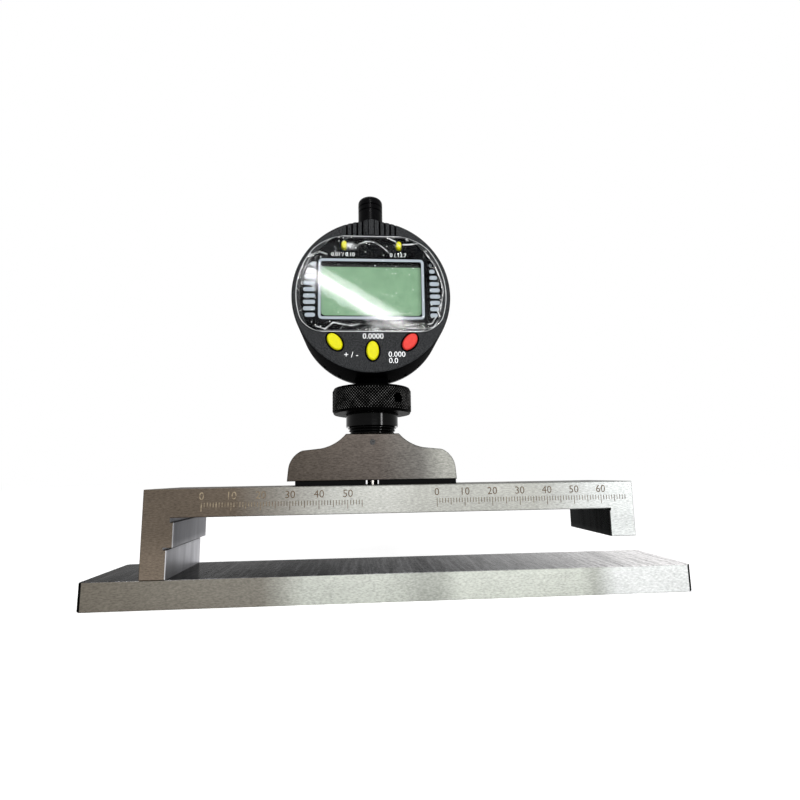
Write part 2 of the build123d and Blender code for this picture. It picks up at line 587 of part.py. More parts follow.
def battery_hatch():
    """The round battery lid with a coin slot, turned to open."""
    x, z = CELL_SPOT
    half_l, half_w = COIN_SLOT
    hatch = across(HATCH_R, COVER_BACK - HATCH_T, COVER_BACK, x, z)
    hatch = chamfer(back_rim(hatch), 0.3)
    depth = (COVER_BACK - 0.9, COVER_BACK + 1)
    return hatch - block((x - half_l, x + half_l), depth, (z - half_w, z + half_w))


def protective_film():
    """The thin clear film that still covers the lens."""
    flat = Pos(0, (FILM_TOP + FILM_BOTTOM) / 2) * Rectangle(2 * FILM_R + 2, FILM_TOP - FILM_BOTTOM)
    outline = fillet((Circle(FILM_R) & flat).vertices(), 5.0)
    film = through_y(outline, LENS_FRONT - FILM_LIFT, LENS_FRONT - FILM_LIFT + FILM_T)
    for hole in key_holes(SMALL_KEYS, LENS_FRONT - 2, 0, gap=0.8):
        film -= hole
    return film


save("setting_plate", setting_plate())
save("bridge_ruler", bridge_ruler())
save("depth_base", depth_base())
save("sole_pads", sole_pads())
save("bush_lock_screw", bush_lock_screw())
save("clamp_bush", clamp_bush())
save("clamp_ring", clamp_ring())
save("case_body", case_body())
save("display_lens", display_lens())
save("display_panel", display_panel())
save("lcd_module", lcd_module())
save("lcd_connector", lcd_connector())
save("circuit_board", circuit_board())
save("keypad_mat", keypad_mat())
save("stem", stem())
save("lower_bush", lower_bush())
save("upper_bush", upper_bush())
save("spindle", spindle())
save("contact_point", contact_point())
save("lift_cap", lift_cap())
save("guide_pin", guide_pin())
save("guide_rail", guide_rail())
save("scale_strip", scale_strip())
save("sensor_board", sensor_board())
save("return_spring", return_spring())
save("rear_cover", rear_cover())
save("rear_cover_screws", rear_cover_screws())
save("battery_cell", battery_cell())
save("battery_contact", battery_contact())
save("battery_hatch", battery_hatch())
save("protective_film", protective_film())
for name, *shape in KEYS:
    save(name, button(*shape))
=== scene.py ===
import math

import bmesh
import bpy
from mathutils import Matrix, Vector, noise


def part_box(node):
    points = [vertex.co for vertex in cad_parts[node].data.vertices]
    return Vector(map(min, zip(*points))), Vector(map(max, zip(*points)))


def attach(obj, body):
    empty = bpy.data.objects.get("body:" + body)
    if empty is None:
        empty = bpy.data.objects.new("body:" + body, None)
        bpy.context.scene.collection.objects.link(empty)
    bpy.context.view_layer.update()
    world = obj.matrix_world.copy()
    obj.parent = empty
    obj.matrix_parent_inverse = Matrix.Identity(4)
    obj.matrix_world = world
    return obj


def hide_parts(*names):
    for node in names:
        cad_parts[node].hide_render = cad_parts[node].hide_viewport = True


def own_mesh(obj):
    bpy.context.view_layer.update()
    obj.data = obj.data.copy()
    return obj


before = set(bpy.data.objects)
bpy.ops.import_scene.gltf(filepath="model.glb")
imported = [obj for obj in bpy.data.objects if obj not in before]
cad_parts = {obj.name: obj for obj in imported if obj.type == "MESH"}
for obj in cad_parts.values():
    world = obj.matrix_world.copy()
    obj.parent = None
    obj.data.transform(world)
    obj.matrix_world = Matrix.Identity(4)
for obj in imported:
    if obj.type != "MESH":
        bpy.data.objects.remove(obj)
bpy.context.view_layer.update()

# Camera: stands close in front of the gauge, low, and looks slightly up and to the right, as a
# hand-held camera does. Place and angles were fitted to the edges of the real object.
CAMERA_PLACE = Vector((-0.01118, -0.19727, 0.04274))
CAMERA_YAW, CAMERA_PITCH, CAMERA_ROLL = 0.0729, 0.1502, -0.0169
FOCAL_LENGTH, SENSOR_WIDTH = 22.51, 36.0
CLIP_NEAR, CLIP_FAR = 0.01, 50

view = Vector((math.sin(CAMERA_YAW) * math.cos(CAMERA_PITCH),
               math.cos(CAMERA_YAW) * math.cos(CAMERA_PITCH), math.sin(CAMERA_PITCH)))
level = Vector((math.cos(CAMERA_YAW), -math.sin(CAMERA_YAW), 0))
upright = level.cross(view)
right = math.cos(CAMERA_ROLL) * level + math.sin(CAMERA_ROLL) * upright
up = math.cos(CAMERA_ROLL) * upright - math.sin(CAMERA_ROLL) * level
camera = bpy.data.objects.new("camera", bpy.data.cameras.new("camera"))
camera.matrix_world = Matrix((
    (right.x, up.x, -view.x, CAMERA_PLACE.x),
    (right.y, up.y, -view.y, CAMERA_PLACE.y),
    (right.z, up.z, -view.z, CAMERA_PLACE.z),
    (0, 0, 0, 1),
))
camera.data.lens, camera.data.sensor_width = FOCAL_LENGTH, SENSOR_WIDTH
camera.data.clip_start, camera.data.clip_end = CLIP_NEAR, CLIP_FAR
bpy.context.scene.collection.objects.link(camera)
bpy.context.scene.camera = camera
bpy.context.scene.view_settings.view_transform = "Standard"


# Surroundings: a seamless pale floor that shows white and keeps the object's shadow, in soft studio
# light. A tall box stands at the front right, a low wide one behind the camera, a large one overhead, a
# small one high in front for glints on the blacks, and two tilted strips that glare in the display.
FLOOR_SIZE, FLOOR_GREY = 8.0, 0.86
GLOW_NEAR, GLOW_FAR = 0.50, 0.70        # what the floor adds to its looks, near the object and far off
NEAR_R, FAR_R = 0.25, 1.2
WORLD_LEVEL = 0.35
DISPLAY_SPOT = (-0.012, -0.017, 0.112)
LAMPS = (       # name, place, what it faces, width, height, watts, and its turn in degrees
    ("soft_box_right", (0.52, -0.60, 0.18), (0.04, 0, 0.03), 0.09, 0.20, 2.6, 0),
    ("soft_box_low", (0.14, -0.80, 0.07), (0.02, 0, 0.03), 0.36, 0.14, 0.45, 0),
    ("soft_box_top", (-0.15, 0.05, 0.90), (0, 0, 0.05), 0.70, 0.70, 2.2, 0),
    ("soft_box_high", (0.0, -0.90, 0.69), (-0.01, 0, 0.15), 0.05, 0.08, 1.4, 0),
    ("strip_core", (0.0, -0.75, 0.36), DISPLAY_SPOT, 0.30, 0.016, 1.7, -30),
    ("strip_light", (0.0, -0.76, 0.364), DISPLAY_SPOT, 0.30, 0.042, 1.8, -30),
)


def feed(tree, made, inputs):
    """Give a node's inputs numbers, colours as three numbers, or other nodes' outputs."""
    for name, value in inputs.items():
        socket = made.inputs[name]
        if isinstance(value, bpy.types.NodeSocket):
            tree.links.new(value, socket)
        else:
            socket.default_value = (*value, 1) if socket.type == "RGBA" else value


def node(tree, kind, inputs=None, **settings):
    """Add one shader node with its settings and inputs."""
    made = tree.nodes.new(kind)
    for name, value in settings.items():
        setattr(made, name, value)
    feed(tree, made, inputs or {})
    return made


def maths(tree, operation, first, second=0.0):
    """One step of arithmetic on node outputs or numbers."""
    return node(tree, "ShaderNodeMath", {0: first, 1: second}, operation=operation).outputs[0]


def seen_white(tree):
    """One where the camera, a gloss or a clear piece looks at a surface, nought for plain light."""
    path = node(tree, "ShaderNodeLightPath").outputs
    shown = maths(tree, "MAXIMUM", path["Is Camera Ray"], path["Is Glossy Ray"])
    return maths(tree, "MAXIMUM", shown, path["Is Transmission Ray"])


def place_of(tree):
    """The object coordinates, as one vector."""
    return node(tree, "ShaderNodeTexCoord").outputs["Object"]


def between(tree, factor, low, high, from_low=0.3, from_high=0.7):
    """Map a factor, by default the usual span of a noise, to a range of numbers."""
    span = {"From Min": from_low, "From Max": from_high, "To Min": low, "To Max": high}
    return node(tree, "ShaderNodeMapRange", {"Value": factor, **span}).outputs[0]


world = bpy.data.worlds.new("studio")
bpy.context.scene.world = world
world.use_nodes = True
tree = world.node_tree
tree.nodes.clear()
strength = between(tree, seen_white(tree), WORLD_LEVEL, 1.0, 0, 1)
background = node(tree, "ShaderNodeBackground", {"Color": (1, 1, 1), "Strength": strength})
node(tree, "ShaderNodeOutputWorld", {"Surface": background.outputs[0]})

bm = bmesh.new()
bmesh.ops.create_grid(bm, x_segments=1, y_segments=1, size=FLOOR_SIZE / 2)
floor_mesh = bpy.data.meshes.new("floor")
bm.to_mesh(floor_mesh)
bm.free()
floor = bpy.data.objects.new("floor", floor_mesh)
bpy.context.scene.collection.objects.link(floor)
floor_paper = bpy.data.materials.new("floor_paper")
floor_paper.use_nodes = True
tree = floor_paper.node_tree
tree.nodes.clear()
far = node(tree, "ShaderNodeVectorMath", {0: place_of(tree)}, operation="LENGTH").outputs["Value"]
lift = between(tree, far, GLOW_NEAR, GLOW_FAR, NEAR_R, FAR_R)
lift = maths(tree, "MULTIPLY", seen_white(tree), lift)
paper = node(tree, "ShaderNodeBsdfDiffuse", {"Color": (FLOOR_GREY, FLOOR_GREY, FLOOR_GREY)}).outputs[0]
glow = node(tree, "ShaderNodeEmission", {"Color": (1, 1, 1), "Strength": lift}).outputs[0]
paper = node(tree, "ShaderNodeAddShader", {0: paper, 1: glow}).outputs[0]
node(tree, "ShaderNodeOutputMaterial", {"Surface": paper})
floor_mesh.materials.append(floor_paper)

for name, place, spot, width, height, watts, tilt in LAMPS:
    lamp = bpy.data.lights.new(name, "AREA")
    lamp.shape, lamp.size, lamp.size_y, lamp.energy = "RECTANGLE", width, height, watts
    holder = bpy.data.objects.new(name, lamp)
    aim = (Vector(spot) - Vector(place)).to_track_quat("-Z", "Y").to_matrix().to_4x4()
    turned = Matrix.Rotation(math.radians(tilt), 4, "Z")
    holder.matrix_world = Matrix.Translation(place) @ aim @ turned
    bpy.context.scene.collection.objects.link(holder)


# Setting plate: a flat block of ground steel. Its top is lapped, streaked and scratched across by the
# grinding wheel, and its long sides keep a short speckled grain. Their colours along the plate are
# painted reflections: the top darker than the sides, both browner towards the left end and paler
# towards the right, with dull bands, the long leg's reflection beside it on the top and a pale matt
# right end of the top. The corner bevels get a near black, a painted dark reflection.
SIDE_BROWN, SIDE_TAN, SIDE_PALE = (0.125, 0.112, 0.092), (0.170, 0.160, 0.138), (0.455, 0.465, 0.46)
SIDE_GREY, SIDE_DULL = (0.380, 0.395, 0.360), (0.265, 0.275, 0.25)
SIDE_TONES = (      # places along the plate, each with its colour there, a painted reflection
    (-0.106, SIDE_BROWN), (-0.046, SIDE_TAN), (-0.031, SIDE_GREY), (-0.005, SIDE_GREY),
    (0.008, SIDE_DULL), (0.015, SIDE_DULL), (0.022, SIDE_GREY), (0.064, SIDE_GREY),
    (0.070, SIDE_DULL), (0.078, SIDE_PALE), (0.106, SIDE_PALE),
)
# The top's tones are painted reflections, the long leg's reflection beside it among them.
TOP_BROWN, TOP_LEG_REFLECTION, TOP_DARK = (0.034, 0.031, 0.029), (0.125, 0.123, 0.125), (0.042, 0.042, 0.046)
TOP_GREY, TOP_LIGHT, TOP_BRIGHT = (0.215, 0.215, 0.220), (0.265, 0.265, 0.27), (0.345, 0.34, 0.345)
TOP_PALE_REFLECTION, TOP_PALE, TOP_SCRATCH = (0.63, 0.615, 0.62), (0.76, 0.735, 0.735), (0.42, 0.42, 0.43)
TOP_TONES = (
    (-0.106, TOP_BROWN), (-0.066, TOP_LEG_REFLECTION), (-0.057, TOP_LEG_REFLECTION), (-0.040, TOP_DARK),
    (-0.030, TOP_DARK), (0.002, TOP_GREY), (0.020, TOP_GREY), (0.040, TOP_LIGHT),
    (0.060, TOP_BRIGHT), (0.072, TOP_PALE_REFLECTION), (0.088, TOP_PALE),
)
REFLECTION_FROM, REFLECTION_FULL = 0.012, 0.088     # painted reflection: the right end of the top turns pale and matt, not bare metal
SIDE_ROUGH, TOP_ROUGH, SCRATCH_HEIGHT = 0.38, 0.20, 5.0
# The corner bevels' near black is a painted dark reflection.
TOP_SKIN, BEVEL_REACH, BEVEL_DARK_REFLECTION = 0.0001, 0.0014, (0.004, 0.004, 0.004)
EDGE_TINT = (0.25, 0.25, 0.25)      # how much of the glancing shine the dull ground steel keeps
plate_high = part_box("setting_plate")[1]


def new_material(name):
    """A material with one Principled surface; gives the material, its tree and the surface node."""
    made = bpy.data.materials.new(name)
    made.use_nodes = True
    return made, made.node_tree, made.node_tree.nodes["Principled BSDF"]


def grain(tree, scale, detail=3.0, roughness=0.55):
    """Noise in object space; a scale per axis, in lines per metre, stretches it into a grain."""
    place = node(tree, "ShaderNodeMapping", {"Vector": place_of(tree), "Scale": scale}).outputs[0]
    inputs = {"Vector": place, "Scale": 1.0, "Detail": detail, "Roughness": roughness}
    return node(tree, "ShaderNodeTexNoise", inputs).outputs["Fac"]


def uneven(tree, fine, swing, coarse, drift):
    """A factor around one that swings with a fine grain and drifts with a coarse one."""
    swung = between(tree, fine, -swing, swing)
    return maths(tree, "ADD", swung, between(tree, coarse, 1 - drift, 1 + drift))


def blend(tree, factor, first, second):
    """Mix two colours, each given as three numbers or as a node's output."""
    return node(tree, "ShaderNodeMix", {0: factor, 6: first, 7: second}, data_type="RGBA").outputs[2]


def shade(tree, colour, factor):
    """Make a colour darker or lighter by a factor."""
    inputs = {0: colour, "Scale": factor}
    return node(tree, "ShaderNodeVectorMath", inputs, operation="SCALE").outputs[0]


def tones(tree, place, stops):
    """Colours along a coordinate; each stop gives a place in metres and its colour."""
    first, last = stops[0][0], stops[-1][0]
    made = node(tree, "ShaderNodeValToRGB", {0: between(tree, place, 0, 1, first, last)})
    points = made.color_ramp.elements
    points[0].color, points[1].color = (*stops[0][1], 1), (*stops[-1][1], 1)
    for where, colour in stops[1:-1]:
        points.new((where - first) / (last - first)).color = (*colour, 1)
    return made.outputs[0]


def bump(tree, height, depth):
    """A bump from a height, of a depth in metres."""
    return node(tree, "ShaderNodeBump", {"Height": height, "Distance": depth}).outputs[0]


def split(tree, vector):
    """The X, Y and Z of a vector."""
    return node(tree, "ShaderNodeSeparateXYZ", {0: vector}).outputs


def dress(name, material):
    """Give a CAD node its material."""
    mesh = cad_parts[name].data
    mesh.materials.clear()
    mesh.materials.append(material)


plate_steel, tree, surface = new_material("plate_steel")
x, y, z = split(tree, place_of(tree))
speck = grain(tree, (900, 2400, 2400), detail=4)
cloud = grain(tree, (60, 60, 60), detail=2)
sides = shade(tree, tones(tree, x, SIDE_TONES), uneven(tree, speck, 0.25, cloud, 0.06))
streaks = grain(tree, (620, 40, 40), detail=6, roughness=0.75)
dirt = grain(tree, (900, 500, 500), detail=4, roughness=0.65)
top = shade(tree, tones(tree, x, TOP_TONES), uneven(tree, dirt, 0.45, streaks, 0.75))
top = blend(tree, between(tree, streaks, 0, 0.30, 0.50, 0.66), top, TOP_SCRATCH)
on_top = maths(tree, "GREATER_THAN", z, plate_high.z - TOP_SKIN)
# Painted reflection: the right end of the top turns pale and matt.
painted_reflection = maths(tree, "MULTIPLY", on_top, between(tree, x, 0, 1, REFLECTION_FROM, REFLECTION_FULL))
scratches = maths(tree, "MULTIPLY", grain(tree, (800, 220, 220), detail=4), SCRATCH_HEIGHT)
# Painted dark reflection on the corner bevels.
spread = maths(tree, "ADD", maths(tree, "ABSOLUTE", x), maths(tree, "ABSOLUTE", y))
at_corner = maths(tree, "GREATER_THAN", spread, plate_high.x + plate_high.y - BEVEL_REACH)
ground = maths(tree, "ADD", speck, maths(tree, "MULTIPLY", on_top, scratches))
feed(tree, surface, {
    "Base Color": blend(tree, at_corner, blend(tree, on_top, sides, top), BEVEL_DARK_REFLECTION),
    "Roughness": between(tree, on_top, SIDE_ROUGH, TOP_ROUGH, 0, 1),
    "Metallic": maths(tree, "SUBTRACT", 1.0, painted_reflection),
    "Specular Tint": EDGE_TINT,
    "Normal": bump(tree, ground, 0.000012),
})
dress("setting_plate", plate_steel)


# Bridge ruler: one piece of ground tool steel, with a long stepped leg and a short leg, relief grooves
# in the inner corners and a long slot in its bar. Its colours are painted reflections: the front goes
# from brown at the left end through a dull band to pale at the right and is lighter down the legs.
# The insides of the legs differ from its front, with painted shade up and along them: the short one's
# is nearly black.
# The front's tones along the bar are painted reflections.
FRONT_BROWN, FRONT_GREY = (0.088, 0.071, 0.055), (0.265, 0.268, 0.250)
FRONT_DULL, FRONT_PALE = (0.215, 0.217, 0.200), (0.30, 0.31, 0.305)
FRONT_TONES = (
    (-0.056, FRONT_BROWN), (-0.022, FRONT_GREY), (-0.002, FRONT_GREY), (0.008, FRONT_DULL),
    (0.050, FRONT_DULL), (0.075, FRONT_PALE),
)
FOOT_LIGHT, FOOT_Z, BAR_Z = 1.8, 0.008, 0.026           # painted reflection: the front grows lighter down its legs
# The legs' inside colours are painted reflections; the short one's is nearly black.
LONG_LEG_INSIDE, SHORT_LEG_INSIDE = (0.37, 0.37, 0.385), (0.055, 0.056, 0.056)
BELOW_STEP, ABOVE_STEP, STEP_LOW, STEP_HIGH = 1.6, 0.85, 0.018, 0.022       # painted shade up the insides
FRONT_END, BACK_END, FRONT_Y, BACK_Y = 0.70, 1.20, -0.014, 0.016            # and painted shade along them
SIDE_ON, END_REACH = 0.6, 0.007         # how far along X an inside looks, and what the ends take
ruler_low, ruler_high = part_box("bridge_ruler")

ruler_steel, tree, surface = new_material("ruler_steel")
x, y, z = split(tree, place_of(tree))
lines = grain(tree, (800, 3000, 3000), detail=5, roughness=0.65)
cloud = grain(tree, (50, 50, 120), detail=3)
# Painted reflection on the front: tones along the bar, lighter down the legs.
front = shade(tree, tones(tree, x, FRONT_TONES), between(tree, z, FOOT_LIGHT, 1.0, FOOT_Z, BAR_Z))
front = shade(tree, front, uneven(tree, lines, 0.36, cloud, 0.08))
# Painted reflection and shade on the legs' insides: their colours, up the steps and along them.
leg = blend(tree, maths(tree, "GREATER_THAN", x, 0.0), LONG_LEG_INSIDE, SHORT_LEG_INSIDE)
leg = shade(tree, leg, between(tree, grain(tree, (60, 320, 50), detail=5), 0.85, 1.15))
leg = shade(tree, leg, between(tree, z, BELOW_STEP, ABOVE_STEP, STEP_LOW, STEP_HIGH))
leg = shade(tree, leg, between(tree, y, FRONT_END, BACK_END, FRONT_Y, BACK_Y))
facing = split(tree, node(tree, "ShaderNodeTexCoord").outputs["Normal"])[0]
side_on = maths(tree, "GREATER_THAN", maths(tree, "ABSOLUTE", facing), SIDE_ON)
inside = maths(tree, "LESS_THAN", maths(tree, "ABSOLUTE", x), ruler_high.x - END_REACH)
feed(tree, surface, {
    "Base Color": blend(tree, maths(tree, "MULTIPLY", side_on, inside), front, leg),
    "Roughness": between(tree, lines, 0.32, 0.42),
    "Metallic": 1.0,
    "Specular Tint": EDGE_TINT,
    "Normal": bump(tree, lines, 0.00001),
})
dress("bridge_ruler", ruler_steel)


# Marks on the bar: plain graduations and numbers, burnt into the front face by laser, which leaves
# them brown. They lie a hair above the steel.
MARK_TAN, MARK_BROWN, MARK_DEEP = (0.33, 0.27, 0.18), (0.095, 0.062, 0.035), (0.045, 0.028, 0.016)
MARK_TONES = ((-0.070, MARK_TAN), (-0.056, MARK_TAN), (-0.040, MARK_BROWN), (0.090, MARK_BROWN))
MARK_TALL, MARK_LINE, MARK_LIFT = 0.0030, 0.00024, 0.00001
MARK_STEP, FIFTH_SHARE, PLAIN_SHARE = 0.001, 0.8, 0.55
LEFT_BLOCK, RIGHT_BLOCK = (-0.0670, 55), (0.0145, 69)       # where a block starts, and its length in mm
NUMBER_TALL, NUMBER_DROP, MARK_DROP = 0.0037, 0.0027, 0.0048
FACING_FRONT = Matrix.Rotation(math.radians(90), 3, "X")        # stands up what was laid out flat


def add_text(bm, words, tall, place):
    """Put flat letters that face the front, centred on a place, into a mesh that is being built."""
    curve = bpy.data.curves.new("letters", "FONT")
    curve.body, curve.size, curve.align_x, curve.align_y = words, tall, "CENTER", "CENTER"
    curve.resolution_u = 3
    holder = bpy.data.objects.new("letters", curve)
    bpy.context.scene.collection.objects.link(holder)
    shown = holder.evaluated_get(bpy.context.evaluated_depsgraph_get())
    letters = bpy.data.meshes.new_from_object(shown)
    bpy.data.objects.remove(holder)
    letters.transform(Matrix.Translation(place) @ FACING_FRONT.to_4x4())
    bm.from_mesh(letters)
    bpy.data.meshes.remove(letters)


def add_panel(bm, width, tall, place):
    """Put a flat rectangle that faces the front into a mesh that is being built; gives its corners."""
    made = bmesh.ops.create_grid(bm, x_segments=1, y_segments=1, size=0.5)["verts"]
    bmesh.ops.scale(bm, verts=made, vec=(width, tall, 1))
    bmesh.ops.rotate(bm, verts=made, cent=(0, 0, 0), matrix=FACING_FRONT)
    bmesh.ops.translate(bm, verts=made, vec=place)
    return made


def piece(name, bm, material, body):
    """Finish a piece: its mesh, its object at the origin, its material and its body."""
    mesh = bpy.data.meshes.new(name)
    bm.to_mesh(mesh)
    bm.free()
    made = bpy.data.objects.new(name, mesh)
    bpy.context.scene.collection.objects.link(made)
    mesh.materials.append(material)
    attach(made, body)
    return made


bm = bmesh.new()
mark_y = ruler_low.y - MARK_LIFT
for start, length in (LEFT_BLOCK, RIGHT_BLOCK):
    for step in range(length + 1):
        along, tall = start + step * MARK_STEP, MARK_TALL
        if step % 10 == 0:
            add_text(bm, str(step), NUMBER_TALL, (along, mark_y, ruler_high.z - NUMBER_DROP))
        else:
            tall *= FIFTH_SHARE if step % 5 == 0 else PLAIN_SHARE
        add_panel(bm, MARK_LINE, tall, (along, mark_y, ruler_high.z - MARK_DROP - tall / 2))
laser_brown, tree, surface = new_material("laser_brown")
burn = grain(tree, (900, 900, 900))
brown = tones(tree, split(tree, place_of(tree))[0], MARK_TONES)
feed(tree, surface, {
    "Base Color": blend(tree, between(tree, burn, 0, 1), brown, MARK_DEEP),
    "Roughness": between(tree, burn, 0.45, 0.65),
    "Specular IOR Level": 0.2,
})
piece("bar_marks", bm, laser_brown, "ruler")


# Depth base: a bell-shaped block, milled and brushed along its length, clamped to the gauge. Its
# colour, browner than the ruler's, is a painted reflection that grows pale towards the right end;
# long horizontal brush lines run along it.
BASE_BROWN, BASE_TAN = (0.042, 0.035, 0.029), (0.050, 0.043, 0.038)
BASE_GREY, BASE_PALE = (0.068, 0.065, 0.060), (0.165, 0.165, 0.150)
BASE_TONES = ((-0.042, BASE_BROWN), (-0.006, BASE_TAN), (0.010, BASE_GREY), (0.019, BASE_PALE))

base_steel, tree, surface = new_material("base_steel")
brush = grain(tree, (900, 3200, 3200), detail=5, roughness=0.68)
cloud = grain(tree, (60, 60, 60), detail=2)
# Painted reflection: brown at the left end, pale at the right.
colours = tones(tree, split(tree, place_of(tree))[0], BASE_TONES)
feed(tree, surface, {
    "Base Color": shade(tree, colours, uneven(tree, brush, 0.46, cloud, 0.06)),
    "Roughness": between(tree, brush, 0.34, 0.46),
    "Metallic": 1.0,
    "Specular Tint": EDGE_TINT,
    "Normal": bump(tree, brush, 0.000014),
})
dress("depth_base", base_steel)


# Sole pads: two strips of dense black rubber bonded under the base, so that it slides on the bar
# without a scratch.
PAD_BLACK, PAD_WORN = (0.0008, 0.0008, 0.0008), (0.003, 0.003, 0.0033)

pad_rubber, tree, surface = new_material("pad_rubber")
worn = grain(tree, (1500, 1500, 1500))
feed(tree, surface, {
    "Base Color": blend(tree, worn, PAD_BLACK, PAD_WORN),
    "Roughness": between(tree, worn, 0.55, 0.75),
    "Specular IOR Level": 0.04,
    "Normal": bump(tree, worn, 0.00002),
})
dress("sole_pads", pad_rubber)


# Lock screw: a small blackened grub screw with a hexagon socket, turned into the front of the base
# to lock the bush's thread. Its black has worn to grey.
SCREW_WORN = 0.055


def black_steel(name, light, rough, shine, scale, depth):
    """Blackened steel: near black, with a faint cloud in its gloss."""
    material, tree, surface = new_material(name)
    cloud = grain(tree, scale, detail=4)
    feed(tree, surface, {
        "Base Color": blend(tree, between(tree, cloud, 0, 1), (light / 4,) * 3, (light,) * 3),
        "Roughness": between(tree, cloud, *rough),
        "Specular IOR Level": shine,
        "Normal": bump(tree, cloud, depth),
    })
    return material


lock_screw_worn = black_steel("lock_screw_worn", SCREW_WORN, rough=(0.35, 0.5), shine=0.2,
                              scale=(2500, 2500, 2500), depth=0.00001)
dress("bush_lock_screw", lock_screw_worn)


# Clamp bush: turned and blackened steel with a thread at its foot, a polished neck and a split collet.
# Fine turning lines run round it.
STEEL_BLACK = 0.0012

neck_black = black_steel("neck_black", STEEL_BLACK, rough=(0.08, 0.13), shine=0.08,
                         scale=(260, 260, 4000), depth=0.000002)
dress("clamp_bush", neck_black)


# Knurled nut: closes the collet on the stem. Its rim has a diamond knurl between two bevels, and a
# 4 mm hole for a tommy bar on each side. Blackened steel, worn bright on the crests of the knurl.
KNURL_COLUMNS, KNURL_ROWS, KNURL_DEPTH = 176, 15, 0.00034
KNURL_BLACK, KNURL_BRIGHT = (0.0003, 0.0003, 0.0003), (0.21, 0.207, 0.203)
WORN_FROM, WORN_FULL = 0.5, 0.1         # how far below the crests, in parts of the knurl's depth
NUT_BEVEL, NECK_CLEAR, THREAD_CLEAR = 0.0006, 0.0105, 0.0096
COLLET_WIDE, COLLET_NARROW, COLLET_RISE, THREAD_RISE = 0.0074, 0.0064, 0.0049, 0.0016
TOMMY_ANGLE, TOMMY_R, TOMMY_DEPTH, TOMMY_SIDES = 39.0, 0.002, 0.0056, 40
DRILL_PROUD, TOUCHING = 0.0007, 0.000002        # points nearer than the last are one
nut_low, nut_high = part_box("clamp_ring")
axis_x, nut_r = (nut_low.x + nut_high.x) / 2, (nut_high.x - nut_low.x) / 2


def squares(tree, first, second):
    """The sum of the squares of two node outputs."""
    first = maths(tree, "MULTIPLY", first, first)
    return maths(tree, "ADD", first, maths(tree, "MULTIPLY", second, second))


knurl_low, knurl_high = nut_low.z + NUT_BEVEL, nut_high.z - NUT_BEVEL
knurl_step = (knurl_high - knurl_low) / KNURL_ROWS
root_r = nut_r - KNURL_DEPTH
outline = [(NECK_CLEAR, nut_low.z), (nut_r - NUT_BEVEL, nut_low.z)]
outline += [(root_r, knurl_low + row * knurl_step) for row in range(KNURL_ROWS + 1)]
outline += [
    (nut_r - NUT_BEVEL, nut_high.z),
    (COLLET_NARROW, nut_high.z),
    (COLLET_WIDE, nut_low.z + COLLET_RISE),
    (THREAD_CLEAR, nut_low.z + COLLET_RISE),
    (THREAD_CLEAR, nut_low.z + THREAD_RISE),
    (NECK_CLEAR, nut_low.z + THREAD_RISE),
]
bm = bmesh.new()
rim = [bm.verts.new((axis_x + radius, 0, height)) for radius, height in outline]
edges = [bm.edges.new(pair) for pair in zip(rim, rim[1:] + rim[:1])]
bmesh.ops.spin(bm, geom=rim + edges, cent=(axis_x, 0, 0), axis=(0, 0, 1), angle=2 * math.pi,
               steps=KNURL_COLUMNS, use_merge=True)
bmesh.ops.remove_doubles(bm, verts=bm.verts, dist=TOUCHING)
bmesh.ops.recalc_face_normals(bm, faces=bm.faces)
turn = 2 * math.pi / KNURL_COLUMNS
for vertex in bm.verts:
    out = Vector((vertex.co.x - axis_x, vertex.co.y))
    row = round((vertex.co.z - knurl_low) / knurl_step)
    if abs(out.length - root_r) < TOUCHING and 0 < row < KNURL_ROWS:
        column = round(math.atan2(out.y, out.x) / turn)
        if (column + row) % 2 == 0:
            out *= nut_r / out.length
            vertex.co.x, vertex.co.y = axis_x + out.x, out.y
bmesh.ops.triangulate(bm, faces=bm.faces, quad_method="SHORT_EDGE")

nut_black, tree, surface = new_material("nut_black")
x, y = split(tree, place_of(tree))[:2]
radius = maths(tree, "SQRT", squares(tree, maths(tree, "SUBTRACT", x, axis_x), y))
worn = between(tree, radius, 0, 1, nut_r - WORN_FROM * KNURL_DEPTH, nut_r - WORN_FULL * KNURL_DEPTH)
patches = between(tree, grain(tree, (330, 330, 330), detail=5), 0.12, 1.0, 0.36, 0.64)
feed(tree, surface, {
    "Base Color": blend(tree, maths(tree, "MULTIPLY", worn, patches), KNURL_BLACK, KNURL_BRIGHT),
    "Roughness": 0.36,
    "Specular IOR Level": 0.008,
})
nut = piece("knurled_nut", bm, nut_black, "clamp_nut")

bm = bmesh.new()
for angle in (TOMMY_ANGLE, TOMMY_ANGLE + 180):
    made = bmesh.ops.create_cone(bm, cap_ends=True, segments=TOMMY_SIDES, radius1=TOMMY_R,
                                 radius2=TOMMY_R, depth=TOMMY_DEPTH)["verts"]
    bmesh.ops.rotate(bm, verts=made, cent=(0, 0, 0), matrix=FACING_FRONT)
    bmesh.ops.translate(bm, verts=made, vec=(0, -(nut_r + DRILL_PROUD - TOMMY_DEPTH / 2), 0))
    turned = Matrix.Rotation(math.radians(angle), 3, "Z")
    bmesh.ops.rotate(bm, verts=made, cent=(0, 0, 0), matrix=turned)
bmesh.ops.translate(bm, verts=bm.verts, vec=(axis_x, 0, (nut_low.z + nut_high.z) / 2))
drill_mesh = bpy.data.meshes.new("drill")
bm.to_mesh(drill_mesh)
bm.free()
drill = bpy.data.objects.new("drill", drill_mesh)
bpy.context.scene.collection.objects.link(drill)
cut = nut.modifiers.new("tommy_holes", "BOOLEAN")
cut.object, cut.operation, cut.solver = drill, "DIFFERENCE", "EXACT"
bpy.context.view_layer.update()
drilled = bpy.data.meshes.new_from_object(nut.evaluated_get(bpy.context.evaluated_depsgraph_get()))
nut.modifiers.clear()
nut.data = drilled
drilled.materials.clear()
drilled.materials.append(nut_black)
bpy.data.objects.remove(drill)
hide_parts("clamp_ring")


